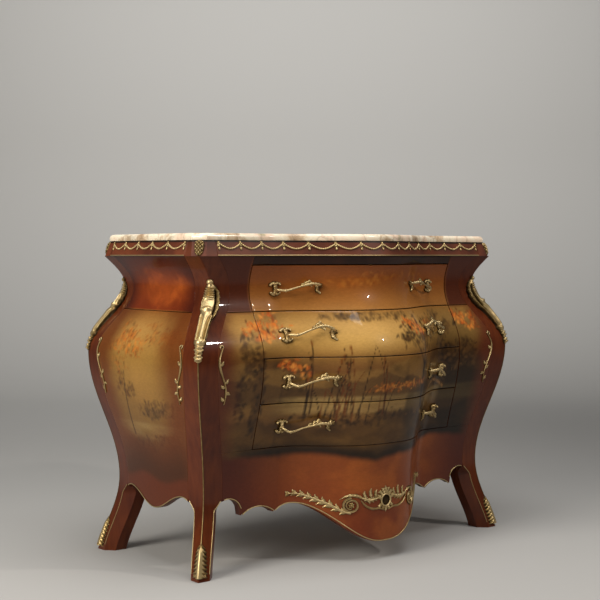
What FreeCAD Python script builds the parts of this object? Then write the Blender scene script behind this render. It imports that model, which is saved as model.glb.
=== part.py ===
# Bombe chest of drawers with a marble top, four drawers and gilt mounts.
# Millimetres, Z up, the front looks along minus Y, X runs to the right of a person who faces the front.
# The origin lies on the floor below the middle of the whole chest.
# The swelling body is one formula: a corner line, a bowed front and bowed sides at every height.
import FreeCAD
import Part
import os
from math import cos, pi, sin

vec = FreeCAD.Vector

sizes = {
    # heights from the floor up
    "total_height": 864,
    "marble_thickness": 18,
    "cornice_height": 40,
    "top_rail_height": 23,
    "upper_drawer_height": 119,
    "lower_drawer_height": 118,
    "neck_level": 723,
    "belly_level": 548,
    "knee_level": 205,
    # corner line: half the width and half the depth at each station
    "top_half_width": 520,
    "neck_half_width": 469,
    "belly_half_width": 550,
    "knee_half_width": 491,
    "toe_half_width": 536,
    "top_half_depth": 230,
    "neck_half_depth": 205,
    "belly_half_depth": 267,
    "knee_half_depth": 203,
    "toe_half_depth": 246,
    # bow of the front and of the sides
    "flank_rise": 10,
    "top_bow": 93,
    "belly_bow": 122,
    "knee_bow": 130,
    "top_bow_half_width": 310,
    "belly_bow_half_width": 300,
    "knee_bow_half_width": 262,
    "top_bow_fullness": 1,
    "belly_bow_fullness": 1.25,
    "knee_bow_fullness": 1.5,
    "side_bow": 16,
    # boards and posts
    "front_board": 22,
    "side_board": 20,
    "back_board": 12,
    "shelf_board": 12,
    "top_board": 16,
    "post_width": 57,
    "leg_face": 34,
    "leg_shoulder": 1.5,
    "arris_land": 2.4,
    "seat_gap": 0.3,
    "parting_gap": 1.6,
    # scalloped lower edges
    "leg_arch_low": 158,
    "leg_arch_high": 194,
    "outer_arch_level": 187,
    "outer_arch_half_span": 419,
    "outer_cusp_level": 140,
    "outer_cusp_half_span": 375,
    "middle_arch_level": 158,
    "inner_cusp_level": 139,
    "inner_cusp_half_span": 271,
    "inner_arch_level": 158,
    "inner_arch_half_span": 222,
    "drop_level": 49,
    "drop_fullness": 1.22,
    "side_arch_level": 190,
    "side_arch_half_span": 122,
    "side_drop_level": 147,
    # marble and cornice
    "marble_overhang": 5,
    "marble_edge": 5,
    "cornice_board": 24,
    "cornice_lean": 12,
    "cornice_lip": 4,
    "block_length": 52,
    "cant_length": 27,
    "top_board_gap": 2,
    # drawers
    "drawer_half_width": 352,
    "drawer_gap": 2.4,
    "box_inset": 14,
    "drawer_side": 12,
    "drawer_back": 12,
    "drawer_bottom": 8,
    "bottom_lift": 6,
    "box_headroom": 10,
    "running_gap": 0.4,
    "guide_gap": 0.8,
    "guide_width": 14,
    "guide_height": 16,
    "guide_length": 260,
    "shelf_setback": 1.5,
    "drawer_end_gap": 12,
    # pulls and their bolts
    "pull_half_span": 217,
    "pull_length": 112,
    "pull_stand": 26,
    "pull_rod": 3.4,
    "pull_leaf": 30,
    "pull_plate": 4,
    "pull_crook": 24,
    "pull_bend": 6,
    "bolt_radius": 2.4,
    "bolt_clearance": 0.2,
    "bolt_head_radius": 5,
    "bolt_head": 4,
    # gilt mounts
    "mount_top": 748,
    "mount_foot": 527,
    "mount_wrap": 18,
    "mount_relief": 28,
    "sabot_height": 88,
    "sabot_wrap": 21,
    "sabot_relief": 6,
    "toe_scroll": 8,
    "fillet_width": 3.2,
    "fillet_relief": 1.8,
    "front_swags": 14,
    "side_swags": 5,
    "swag_drop": 13,
    "swag_width": 4,
    "swag_relief": 2.6,
    "knot_height": 25,
    "knot_width": 8,
    "boss_height": 35,
    "boss_width": 24,
    "boss_relief": 11,
    "scroll_width": 7,
    "scroll_relief": 3.5,
    "scroll_rise": 75,
    "scroll_length": 165,
    "scroll_sway": 8,
    "scroll_inset": 71,
    "apron_scroll": 17,
    "apron_scroll_drop": 6,
    "apron_joint": 8,
    "apron_leaf_rise": 34,
    "apron_leaf_drop": 11,
    "apron_leaf_wave": 4,
    "apron_link_rise": 9,
    "apron_mount_level": 158,
    "apron_mount_half_span": 238,
    "apron_scroll_half_span": 104,
    "cartouche_half_width": 27,
    "cartouche_half_height": 21,
}

doc = FreeCAD.newDocument("bombe_chest")
sheet = doc.addObject("Spreadsheet::Sheet", "Sizes")
for row, (alias, number) in enumerate(sizes.items(), 1):
    sheet.set("A%d" % row, alias)
    sheet.set("B%d" % row, str(number))
    sheet.setAlias("B%d" % row, alias)
doc.recompute()
val = {alias: float(sheet.get(alias)) for alias in sizes}

cornice_low = val["total_height"] - val["marble_thickness"] - val["cornice_height"]
cornice_top = cornice_low + val["cornice_height"]
upper_high = cornice_low - val["top_rail_height"]
waist = upper_high - val["upper_drawer_height"]
body_low = waist - 3 * val["lower_drawer_height"]
post_inner = val["post_width"] + val["seat_gap"]
lift = val["seat_gap"]
half_gap = val["drawer_gap"] / 2
column_step = 20.0
level_step = 27.0
round_sides = 8
cut_margin = 12.0
foot_relief_share = 0.36
level_count = int(round(cornice_low / level_step))
nodes = {}


# the swelling body


def ease(start, end, share):
    return start + (end - start) * (1 - cos(pi * share)) / 2


def body_line(z, kind):
    # half width or half depth of the body at height z, straight down below the knee
    top, neck, belly, knee = (val[place + kind] for place in ("top", "neck", "belly", "knee"))
    if z >= val["neck_level"]:
        share = min((z - val["neck_level"]) / (cornice_low - val["neck_level"]), 1)
        return neck + (top - neck) * (1 - cos(pi * share / 2))
    if z >= val["belly_level"]:
        return ease(neck, belly, (val["neck_level"] - z) / (val["neck_level"] - val["belly_level"]))
    share = min((val["belly_level"] - z) / (val["belly_level"] - val["knee_level"]), 1)
    return ease(belly, knee, share)


def smooth_arris(z, kind):
    # the corner line: the body's, and below the knee the splayed leg's
    if z >= val["knee_level"]:
        return body_line(z, kind)
    sweep = 0.8 * pi
    share = (1 - cos(sweep * (1 - z / val["knee_level"]))) / (1 - cos(sweep))
    return val["knee" + kind] + (val["toe" + kind] - val["knee" + kind]) * share


def body_width(z):
    return body_line(z, "_half_width")


def body_depth(z):
    return body_line(z, "_half_depth")


def between_levels(line, z, *place):
    # boards and posts are ruled between the same levels, so that all of them meet along the corner
    step = cornice_low / level_count
    index = min(max(int(z // step), 0), level_count - 1)
    share = z / step - index
    low, high = line(index * step, *place), line((index + 1) * step, *place)
    return low + (high - low) * share


def arris_width(z):
    return between_levels(smooth_arris, z, "_half_width")


def arris_depth(z):
    return between_levels(smooth_arris, z, "_half_depth")


def bow_value(z, kind):
    if z >= val["belly_level"]:
        share = min((z - val["belly_level"]) / (cornice_low - val["belly_level"]), 1)
        return ease(val["belly" + kind], val["top" + kind], share)
    share = min((val["belly_level"] - z) / (val["belly_level"] - val["knee_level"]), 1)
    return ease(val["belly" + kind], val["knee" + kind], share)


def front_reach(z, x):
    # how far the front stands before the middle of the feet
    flank = val["flank_rise"] * (1 - (x / body_width(z)) ** 2)
    share = min(abs(x) / bow_value(z, "_bow_half_width"), 1) ** bow_value(z, "_bow_fullness")
    return body_depth(z) + flank + bow_value(z, "_bow") * (1 + cos(pi * share)) / 2


# the chest's middle lies halfway between the bow's foremost point and the rear corner mounts
levels = [body_low + (upper_high - body_low) * step / 40 for step in range(41)]
foremost = max(front_reach(z, 0) for z in levels)
rearmost = val["belly_half_depth"] + val["mount_relief"] * foot_relief_share
middle = (foremost - rearmost) / 2


def side_reach(z, y):
    return body_width(z) + val["side_bow"] * (1 - ((y - middle) / body_depth(z)) ** 2)


def front(x, z):
    return middle - between_levels(front_reach, z, x)


def side(y, z):
    return between_levels(side_reach, z, y)


def front_out(x, z):
    step = 1.0
    slope_x = (front(x + step, z) - front(x - step, z)) / (2 * step)
    slope_z = (front(x, z + step) - front(x, z - step)) / (2 * step)
    return vec(slope_x, -1, slope_z).normalize()


def side_out(y, z, hand):
    step = 1.0
    slope_y = (side(y + step, z) - side(y - step, z)) / (2 * step)
    slope_z = (side(y, z + step) - side(y, z - step)) / (2 * step)
    return vec(hand, -slope_y, -slope_z).normalize()


# the rear board stands just inside the narrowest place of the rear posts
back_rear = middle + min(val["neck_half_depth"], val["knee_half_depth"]) - post_inner
back_front = back_rear - val["back_board"]
box_rear = back_front - val["drawer_end_gap"]


# building blocks


def spread(start, end, count):
    return [start + (end - start) * step / count for step in range(count + 1)]


def steps_over(length):
    # enough steps for a line to follow the swelling closely
    return max(3, int(round(length / column_step)))


def levels_over(low, high):
    # the body's own levels between two heights, with both ends
    step = cornice_low / level_count
    inner = [index * step for index in range(level_count + 1)]
    return [low] + [z for z in inner if low + 2 < z < high - 2] + [high]


def front_rows(levels, left, right, face=front):
    columns = steps_over(right(levels[0]) - left(levels[0]))
    rows = []
    for z in levels:
        rows.append([vec(x, face(x, z), z) for x in spread(left(z), right(z), columns)])
    return rows


def side_rows(levels, hand, reach, face):
    rows = []
    for z in levels:
        line = spread(middle - reach(z), middle + reach(z), 6)
        rows.append([vec(hand * face(y, z), y, z) for y in line])
    return rows


def keep(label, thing):
    thing.Label = label
    nodes[label] = thing
    return thing


def shaped(name, shape):
    thing = doc.addObject("Part::Feature", name)
    thing.Shape = shape
    return thing


def board(name, shape, direction, thickness):
    # a curved or flat face made a board of one named thickness
    thing = doc.addObject("Part::Extrusion", name)
    thing.Base = shaped(name + "_face", shape)
    thing.DirMode = "Custom"
    thing.Dir = direction
    thing.setExpression("LengthFwd", thickness)
    return thing


def curved_board(name, rows, inward, thickness):
    # a board of one thickness, ruled between level sections that are curved in plan
    sections = []
    for row in rows:
        inner = [point + inward * val[thickness] for point in row]
        edges = [curve(row), curve(inner), Part.makeLine(row[0], inner[0]), Part.makeLine(row[-1], inner[-1])]
        sections.append(Part.Wire(Part.__sortEdges__(edges)))
    return shaped(name, Part.makeLoft(sections, True, True))


def cut(name, base, tool):
    thing = doc.addObject("Part::Cut", name)
    thing.Base = base
    thing.Tool = tool
    return thing


def group(name, things):
    thing = doc.addObject("Part::Compound", name)
    thing.Links = things
    return thing


def box(name, place, length, width, height):
    thing = doc.addObject("Part::Box", name)
    thing.setExpression("Length", length)
    thing.setExpression("Width", width)
    thing.setExpression("Height", height)
    thing.Placement = FreeCAD.Placement(place, FreeCAD.Rotation())
    return thing


def curve(points):
    line = Part.BSplineCurve()
    line.interpolate(points)
    return line.toShape()


def polygon(points):
    return Part.makePolygon(points + points[:1])


def ribbon(points, outs, widths, heights):
    # a ridged strip that lies on a surface along a row of points
    wires = []
    last = len(points) - 1
    for index, point in enumerate(points):
        along = points[min(index + 1, last)] - points[max(index - 1, 0)]
        across = along.cross(outs[index]).normalize() * (widths[index] / 2)
        foot = point + outs[index] * lift
        crown = foot + outs[index] * heights[index]
        wires.append(polygon([foot + across, crown + across * 0.4, crown - across * 0.4, foot - across]))
    return Part.makeLoft(wires, True, True)


def rod(points, radii, corners=6):
    # a bar whose thickness changes along a row of points
    wires = []
    last = len(points) - 1
    for index, point in enumerate(points):
        along = (points[min(index + 1, last)] - points[max(index - 1, 0)]).normalize()
        across = along.cross(vec(0, 0, 1)).normalize()
        upward = across.cross(along)
        turns = [2 * pi * corner / corners for corner in range(corners)]
        ring = [point + (across * cos(turn) + upward * sin(turn)) * radii[index] for turn in turns]
        wires.append(polygon(ring))
    return Part.makeLoft(wires, True, True)


def swelling(count, least=0.25):
    # widths of a leaf or a swag: thin at both ends, full in the middle
    return [least + (1 - least) * sin(pi * step / count) for step in range(count + 1)]


def between(outline, share):
    # width and height of an outline at a share of its length, eased between its stations
    for (low, *start), (high, *end) in zip(outline, outline[1:]):
        if share <= high:
            part = (share - low) / (high - low)
            return [ease(one, other, part) for one, other in zip(start, end)]
    return outline[-1][1:]


# posts and legs


def leg_face_width(z):
    broad = val["post_width"] - val["leg_shoulder"]
    share = (z - val["leg_arch_low"]) / (val["leg_arch_high"] - val["leg_arch_low"])
    return ease(val["leg_face"], broad, min(max(share, 0), 1))


def corner_point(z, inward_x, inward_y, hand, end):
    x = hand * (arris_width(z) - inward_x)
    return vec(x, middle + end * (arris_depth(z) - inward_y), z)


def post(hand, end):
    wires = []
    width = val["post_width"]
    for z in levels_over(0, cornice_low):
        face = leg_face_width(z)
        land = val["arris_land"]
        fade = min(z / val["knee_level"], 1)

        def rise(inward):
            return fade * val["flank_rise"] * (1 - (1 - inward / body_width(z)) ** 2)

        def swell(inward):
            return fade * val["side_bow"] * (1 - (1 - inward / body_depth(z)) ** 2)

        ring = [(land, -rise(land)), (face, -rise(face)), (width, width - face), (width, width)]
        ring += [(width - face, width), (-swell(face), face), (-swell(land), land)]
        wires.append(polygon([corner_point(z, u, w, hand, end) for u, w in ring]))
    return Part.makeLoft(wires, True, True)


corners = {"front_left": (-1, -1), "front_right": (1, -1), "rear_left": (-1, 1), "rear_right": (1, 1)}
hands = {"left": -1, "right": 1}
for place, (hand, end) in corners.items():
    keep("post_" + place, shaped("post_" + place, post(hand, end)))


# front boards beside, above and below the drawers


def post_edge(z):
    return arris_width(z) - post_inner


def drawer_edge(z):
    return val["drawer_half_width"] + half_gap


def stile(label, hand, low, high):
    levels = levels_over(low, high)
    if hand < 0:
        rows = front_rows(levels, lambda z: -post_edge(z), lambda z: -drawer_edge(z))
    else:
        rows = front_rows(levels, drawer_edge, post_edge)
    keep(label, curved_board(label, rows, vec(0, 1, 0), "front_board"))


half_parting = val["parting_gap"] / 2
for place, hand in hands.items():
    stile("neck_stile_" + place, hand, waist + half_parting, cornice_low)
    stile("belly_stile_" + place, hand, body_low, waist - half_parting)

rail_low = upper_high + half_gap
rail_end = val["drawer_half_width"] + half_gap - lift
rail = front_rows(levels_over(rail_low, cornice_low), lambda z: -rail_end, lambda z: rail_end)
keep("top_rail", curved_board("top_rail", rail, vec(0, 1, 0), "front_board"))


def front_scallops():
    # right half of the lower edge: two arches, then the long fall to the middle and its mirror
    joint = vec(val["knee_half_width"] - val["leg_face"], 0, val["leg_arch_low"])
    outer_top = vec(val["outer_arch_half_span"], 0, val["outer_arch_level"])
    outer_cusp = vec(val["outer_cusp_half_span"], 0, val["outer_cusp_level"])
    inner_cusp = vec(val["inner_cusp_half_span"], 0, val["inner_cusp_level"])
    half_way = (val["outer_cusp_half_span"] + val["inner_cusp_half_span"]) / 2
    middle_top = vec(half_way, 0, val["middle_arch_level"])
    first = Part.Arc(joint, outer_top, outer_cusp).toShape()
    second = Part.Arc(outer_cusp, middle_top, inner_cusp).toShape()
    span = val["inner_arch_half_span"]
    full = val["drop_fullness"]
    rises = [(x, (x / span) ** full) for x in spread(span, 0, 6)]
    fall = [vec(x, 0, ease(val["drop_level"], val["inner_arch_level"], rise)) for x, rise in rises]
    right = [inner_cusp] + fall
    left = [vec(-point.x, 0, point.z) for point in reversed(right[:-1])]
    return first, second, curve(right + left)


def mirrored(edge):
    return edge.mirror(vec(0, 0, 0), vec(1, 0, 0))


def below(edges, start, end, floor):
    # the face between a scalloped edge and a level below it
    under_start = vec(start.x, start.y, floor)
    under_end = vec(end.x, end.y, floor)
    lines = [Part.makeLine(end, under_end), Part.makeLine(under_end, under_start)]
    lines += [Part.makeLine(under_start, start)]
    wire = Part.Wire(Part.__sortEdges__(edges + lines))
    return Part.Face(wire)


first_arch, second_arch, long_fall = front_scallops()
scallops = [first_arch, second_arch, long_fall, mirrored(second_arch), mirrored(first_arch)]
apron_low = val["drop_level"] - cut_margin
apron_levels = levels_over(apron_low, body_low - half_parting)
apron_rows = front_rows(apron_levels, lambda z: -post_edge(z), post_edge)
apron = curved_board("apron_board", apron_rows, vec(0, 1, 0), "front_board")
joint = first_arch.Vertexes[0].Point
outside = vec(joint.x + val["post_width"] * 2, 0, joint.z)
far_ends = (outside, vec(-outside.x, 0, outside.z))
shoulders = [Part.makeLine(outside, joint), Part.makeLine(vec(-joint.x, 0, joint.z), far_ends[1])]
under = below(scallops + shoulders, far_ends[0], far_ends[1], apron_low - cut_margin)
under.translate(vec(0, middle - foremost - cut_margin, 0))
clearer = shaped("apron_under", under.extrude(vec(0, foremost, 0)))
keep("front_apron", cut("front_apron", apron, clearer))


# sides: a hollow neck and a swelling belly with a scalloped foot


def side_scallop():
    points = []
    reach = val["knee_half_depth"] - val["leg_face"]
    span = val["side_arch_half_span"]
    half = [(reach, val["leg_arch_low"]), (span, val["side_arch_level"])]
    half += [(span / 2, (val["side_arch_level"] + val["side_drop_level"]) / 2)]
    for y, z in half:
        points.append(vec(0, middle - y, z))
    points.append(vec(0, middle, val["side_drop_level"]))
    for y, z in reversed(half):
        points.append(vec(0, middle + y, z))
    return curve(points)


def panel_reach(z):
    return arris_depth(z) - post_inner


side_edge = side_scallop()
for place, hand in hands.items():
    inward = vec(-hand, 0, 0)
    neck = side_rows(levels_over(waist + half_parting, cornice_low), hand, panel_reach, side)
    keep("neck_side_" + place, curved_board("neck_side_" + place, neck, inward, "side_board"))
    side_low = val["side_drop_level"] - cut_margin
    belly_rows = side_rows(levels_over(side_low, waist - half_parting), hand, panel_reach, side)
    belly = curved_board("belly_board_" + place, belly_rows, inward, "side_board")
    ends = [vertex.Point for vertex in side_edge.Vertexes]
    under = below([side_edge], ends[0], ends[1], side_low - cut_margin)
    clearer = shaped("side_under_" + place, under.extrude(vec(hand * 2 * val["belly_half_width"], 0, 0)))
    keep("belly_side_" + place, cut("belly_side_" + place, belly, clearer))


# back, shelves and guides inside the carcass


def inner_side(z):
    return side(back_rear, z) - val["side_board"] - 2 * lift


def back_face():
    low = body_low - val["shelf_board"]
    rises = levels_over(low, cornice_low)
    right = [vec(inner_side(z), back_front, z) for z in rises]
    left = [vec(-point.x, point.y, point.z) for point in reversed(right)]
    return Part.Face(polygon(right + left))


keep("back_panel", board("back_panel", back_face(), vec(0, 1, 0), "Sizes.back_board"))


def shelf_face(low, high, setback):
    # outline of a level board that fits between the posts, the sides, the front and the back
    across = min(arris_width(low), arris_width(high)) - post_inner
    back_of_posts = min(arris_depth(low), arris_depth(high)) - post_inner
    corner_y = middle - back_of_posts
    rear = back_front - val["seat_gap"]
    narrowest = min(side(y, z) for y in (corner_y, rear) for z in (low, high))
    wide = narrowest - val["side_board"] - lift

    def front_edge(x):
        return max(front(x, z) for z in levels_over(low, high)) + val["front_board"] + setback

    left_side = [vec(x, front_edge(x), low) for x in spread(-across, across, steps_over(2 * across))]
    rest = [vec(across, corner_y, low), vec(wide, corner_y, low), vec(wide, rear, low)]
    rest += [vec(-wide, rear, low), vec(-wide, corner_y, low), vec(-across, corner_y, low)]
    return Part.Face(polygon(left_side + rest))


def shelf(name, low, setback):
    face = shelf_face(low, low + val["shelf_board"], setback)
    return board(name, face, vec(0, 0, 1), "Sizes.shelf_board")


drawer_tops = [upper_high] + [waist - step * val["lower_drawer_height"] for step in range(3)]
drawer_lows = [waist] + [waist - step * val["lower_drawer_height"] for step in (1, 2, 3)]
half_shelf = val["shelf_board"] / 2
setback = val["shelf_setback"]
shelves = [shelf("shelf_%d" % (step + 1), drawer_lows[step] - half_shelf, setback) for step in range(3)]
keep("dust_shelves", group("dust_shelves", shelves))
floor_low = body_low - val["shelf_board"]
keep("bottom_board", shelf("bottom_board", floor_low, 2 * lift))

box_half_width = val["drawer_half_width"] - val["box_inset"]
guide_inner = box_half_width + val["guide_gap"]
seats = [drawer_lows[0] + half_shelf, drawer_lows[1] + half_shelf, drawer_lows[2] + half_shelf, body_low]
guide_strips = []
guide_rear = back_front - val["guide_gap"]
for step, seat in enumerate(seats):
    for place, hand in hands.items():
        left = guide_inner if hand > 0 else -guide_inner - val["guide_width"]
        strip = box(
            "guide_%d_%s" % (step + 1, place),
            vec(left, guide_rear - val["guide_length"], seat),
            "Sizes.guide_width",
            "Sizes.guide_length",
            "Sizes.guide_height",
        )
        guide_strips.append(strip)
keep("drawer_guides", group("drawer_guides", guide_strips))


# drawers


def drawer_front(name, low, high, bolts):
    reach = val["drawer_half_width"] - half_gap
    rows = front_rows(levels_over(low + half_gap, high - half_gap), lambda z: -reach, lambda z: reach)
    plate = curved_board(name + "_plate", rows, vec(0, 1, 0), "front_board")
    holes = []
    for index, (x, z) in enumerate(bolts):
        hole = doc.addObject("Part::Cylinder", "%s_hole_%d" % (name, index + 1))
        hole.setExpression("Radius", "Sizes.bolt_radius + Sizes.bolt_clearance")
        hole.setExpression("Height", "Sizes.front_board * 3")
        turn = FreeCAD.Rotation(vec(1, 0, 0), -90)
        hole.Placement = FreeCAD.Placement(vec(x, front(x, z) - val["front_board"], z), turn)
        holes.append(hole)
    return cut(name, plate, group(name + "_holes", holes))


def nosed_face(nose, heel):
    # a flat face with a curved front end and a straight rear end
    return Part.Face(polygon(nose + heel))


def drawer_wall(name, hand, low, high):
    # a side whose front end follows the back of the swelling front
    outer = box_half_width
    inner = outer - val["drawer_side"]

    def start(z):
        return max(front(outer, z), front(inner, z)) + val["front_board"] + 2 * lift

    left = hand * inner if hand > 0 else -outer
    nose = [vec(left, start(z), z) for z in levels_over(low, high)]
    heel = [vec(left, box_rear, high), vec(left, box_rear, low)]
    return board(name, nosed_face(nose, heel), vec(1, 0, 0), "Sizes.drawer_side")


def drawer_floor(name, low):
    inner = box_half_width - val["drawer_side"] - val["seat_gap"]
    high = low + val["drawer_bottom"]

    def start(x):
        return max(front(x, z) for z in levels_over(low, high)) + val["front_board"] + 2 * lift

    nose = [vec(x, start(x), low) for x in spread(-inner, inner, steps_over(2 * inner))]
    heel = [vec(inner, box_rear, low), vec(-inner, box_rear, low)]
    return board(name, nosed_face(nose, heel), vec(0, 0, 1), "Sizes.drawer_bottom")


def on_front(x, z, stand):
    return vec(x, front(x, z), z) + front_out(x, z) * stand


def leaf(start, bend, end, width):
    # a leaf that lies on the drawer front along a bent row of points
    steps = 5
    points, outs = [], []
    for share in spread(0, 1, steps):
        x = (1 - share) ** 2 * start[0] + 2 * share * (1 - share) * bend[0] + share ** 2 * end[0]
        z = (1 - share) ** 2 * start[1] + 2 * share * (1 - share) * bend[1] + share ** 2 * end[1]
        points.append(vec(x, front(x, z), z))
        outs.append(front_out(x, z))
    full = swelling(steps)
    heights = [val["pull_plate"] * (0.5 + w) for w in full]
    return ribbon(points, outs, [width * w for w in full], heights)


def pull(hand, z):
    # an S shaped bar between a crossed leaf at the outer end and a hanging leaf at the inner end
    half = val["pull_length"] / 2
    size = val["pull_leaf"]
    outer = hand * (val["pull_half_span"] + half)
    inner = hand * (val["pull_half_span"] - half)
    low_z, high_z = z - size * 0.1, z + size * 0.2
    stand = val["pull_stand"]
    foot = val["pull_plate"] * 0.75
    crook = hand * val["pull_crook"]
    bend = val["pull_bend"]
    path = [
        on_front(outer, low_z, foot),
        on_front(outer - crook * 0.2, low_z - bend * 0.5, stand * 0.6),
        on_front(outer - crook, low_z - bend, stand),
        on_front((outer + inner) / 2, (low_z + high_z) / 2, stand),
        on_front(inner + crook, high_z + bend * 0.8, stand),
        on_front(inner + crook * 0.2, high_z + bend * 0.3, stand * 0.6),
        on_front(inner, high_z, foot),
    ]
    thickness = (1.5, 1.3, 1, 0.85, 1, 1.3, 1.5)
    steps = 2 * (len(path) - 1)
    bends = curve(path).discretize(steps + 1)
    shares = [between(list(enumerate(thickness)), step / 2) for step in range(steps + 1)]
    bar = rod(bends, [val["pull_rod"] * share[0] for share in shares])
    width = size * 0.3
    start = (outer - crook * 0.33, low_z)
    turn = (outer + crook * 0.17, low_z)
    tip_x = outer + hand * size * 0.6
    leaves = [leaf(start, turn, (tip_x, low_z + size * rise), width) for rise in (0.42, -0.4)]
    hook = (inner + crook * 0.08, high_z + size * 0.23)
    leaves.append(leaf(hook, (inner - crook * 0.33, high_z), (inner, high_z - size * 0.95), width))
    return bar.fuse(leaves).removeSplitter(), ((outer, low_z), (inner, high_z))


def bolt(name, x, z):
    # a machine bolt through the front with its head inside the drawer
    turn = FreeCAD.Rotation(vec(1, 0, 0), -90)
    reach = val["bolt_head_radius"]
    spots = [(x + dx, z + dz) for dx in (-reach, 0, reach) for dz in (-reach, 0, reach)]
    seat = max(front(px, pz) for px, pz in spots) + val["front_board"] + val["seat_gap"]
    start = max(front(x, z), max(front(px, pz) for px, pz in spots))
    shank = doc.addObject("Part::Prism", name + "_shank")
    shank.Polygon = round_sides
    shank.setExpression("Circumradius", "Sizes.bolt_radius")
    shank.Height = seat - start + val["bolt_head"] / 2
    shank.Placement = FreeCAD.Placement(vec(x, start, z), turn)
    head = doc.addObject("Part::Prism", name + "_head")
    head.Polygon = round_sides
    head.setExpression("Circumradius", "Sizes.bolt_head_radius")
    head.setExpression("Height", "Sizes.bolt_head")
    head.Placement = FreeCAD.Placement(vec(x, seat, z), turn)
    whole = doc.addObject("Part::Fuse", name)
    whole.Base = shank
    whole.Tool = head
    return whole


def drawer(number, low, high, seat):
    name = "drawer_%d_" % number
    centre = (low + high) / 2
    pulls, spots = [], []
    for place, hand in hands.items():
        shape, feet = pull(hand, centre)
        pulls.append(shaped("%spull_%s" % (name, place), shape))
        spots.extend(feet)
    keep(name + "front", drawer_front(name + "front", low, high, spots))
    keep(name + "pulls", group(name + "pulls", pulls))
    bolts = [bolt("%sbolt_%d" % (name, index + 1), x, z) for index, (x, z) in enumerate(spots)]
    keep(name + "bolts", group(name + "bolts", bolts))
    box_low = seat + val["running_gap"]
    box_high = high - half_shelf - val["box_headroom"]
    walls = []
    for place, hand in hands.items():
        walls.append(drawer_wall("%sside_%s" % (name, place), hand, box_low, box_high))
    keep(name + "sides", group(name + "sides", walls))
    floor = box_low + val["bottom_lift"]
    keep(name + "bottom", drawer_floor(name + "bottom", floor))
    inner = box_half_width - val["drawer_side"] - val["seat_gap"]
    back_low = floor + val["drawer_bottom"]
    back = box(
        name + "back",
        vec(-inner, box_rear - val["drawer_back"], back_low),
        "2 * (Sizes.drawer_half_width - Sizes.box_inset - Sizes.drawer_side - Sizes.seat_gap)",
        "Sizes.drawer_back",
        "%g" % (box_high - back_low),
    )
    keep(name + "back", back)


for step in range(4):
    drawer(step + 1, drawer_lows[step], drawer_tops[step], seats[step])


# cornice, corner blocks, top board and marble


def lean(z):
    return val["cornice_lip"] - val["cornice_lean"] * (z - cornice_low) / val["cornice_height"]


def cornice_front(x, z):
    return front(x, cornice_low) - lean(z)


def cornice_side(y, z):
    return side(y, cornice_low) + lean(z)


block_x = val["top_half_width"] - val["block_length"]
block_y = val["top_half_depth"] - val["block_length"]
cornice_levels = [cornice_low, cornice_top]
cornice = front_rows(cornice_levels, lambda z: -block_x, lambda z: block_x, cornice_front)
keep("cornice_front", curved_board("cornice_front", cornice, vec(0, 1, 0), "cornice_board"))
for place, hand in hands.items():
    label = "cornice_" + place
    rows = side_rows(cornice_levels, hand, lambda z: block_y, cornice_side)
    keep(label, curved_board(label, rows, vec(-hand, 0, 0), "cornice_board"))
rear_rail_y = middle + val["top_half_depth"] - val["cornice_board"]
rear_rail = box(
    "cornice_back",
    vec(-block_x, rear_rail_y, cornice_low),
    "2 * (Sizes.top_half_width - Sizes.block_length)",
    "Sizes.cornice_board",
    "Sizes.cornice_height",
)
keep("cornice_back", rear_rail)


def block(hand, end):
    # a canted corner of the cornice: its front end meets the long mouldings
    wires = []
    for z in (cornice_low, cornice_top):
        out_x = cornice_side(middle - block_y, z)
        out_y = -cornice_front(block_x, z) + middle if end < 0 else val["top_half_depth"] + lean(z)
        cant = val["cant_length"]
        inner_x, inner_y = block_x + lift, block_y + lift
        ring = [(inner_x, out_y), (out_x - cant, out_y), (out_x, out_y - cant)]
        ring += [(out_x, inner_y), (inner_x, inner_y)]
        wires.append(polygon([vec(hand * x, middle + end * y, z) for x, y in ring]))
    return Part.makeLoft(wires, True, True)


blocks = [shaped("block_" + place, block(*signs)) for place, signs in corners.items()]
keep("cornice_blocks", group("cornice_blocks", blocks))


def ring_face(z, inset):
    # the plan outline of the top at one height, drawn in from the cornice's upper edge
    edge_x = cornice_side(middle - block_y, cornice_top) - inset
    front_y = -cornice_front(block_x, cornice_top) + middle - inset
    rear_y = val["top_half_depth"] + lean(cornice_top) - inset
    cant = val["cant_length"]
    line_x = edge_x - cant
    bowed = [vec(x, cornice_front(x, cornice_top) + inset, z) for x in spread(-block_x, block_x, 20)]
    start, end = vec(-line_x, middle - front_y, z), vec(line_x, middle - front_y, z)
    right_low, right_high = middle - front_y + cant, middle + rear_y - cant

    def bowed_side(hand):
        rows = spread(right_low, right_high, 6)
        crown = val["side_bow"] * 0.6
        half = (right_high - right_low) / 2
        centre = (right_high + right_low) / 2
        return [vec(hand * (edge_x + crown * (1 - ((y - centre) / half) ** 2)), y, z) for y in rows]

    right, left = bowed_side(1), bowed_side(-1)
    rear_right, rear_left = vec(line_x, middle + rear_y, z), vec(-line_x, middle + rear_y, z)
    edges = [curve(bowed), curve(right), curve(left)]
    pairs = [(bowed[-1], end), (end, right[0]), (right[-1], rear_right), (rear_right, rear_left)]
    pairs += [(rear_left, left[-1]), (left[0], start), (start, bowed[0])]
    for one, other in pairs:
        edges.append(Part.makeLine(one, other))
    return Part.Face(Part.Wire(Part.__sortEdges__(edges)))


top_inset = val["cornice_board"] + val["cant_length"] + val["top_board_gap"]
top_face = ring_face(cornice_top - val["top_board"], top_inset)
keep("top_board", board("top_board", top_face, vec(0, 0, 1), "Sizes.top_board"))
slab_high = val["total_height"]
slab_edge = val["marble_edge"]
slab_rows = [(cornice_top, 0), (slab_high - slab_edge, 0), (slab_high, slab_edge)]
outlines = [ring_face(z, drawn - val["marble_overhang"]).OuterWire for z, drawn in slab_rows]
keep("marble_top", shaped("marble_top", Part.makeLoft(outlines, True, True)))


# gilt mounts on the corners


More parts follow.
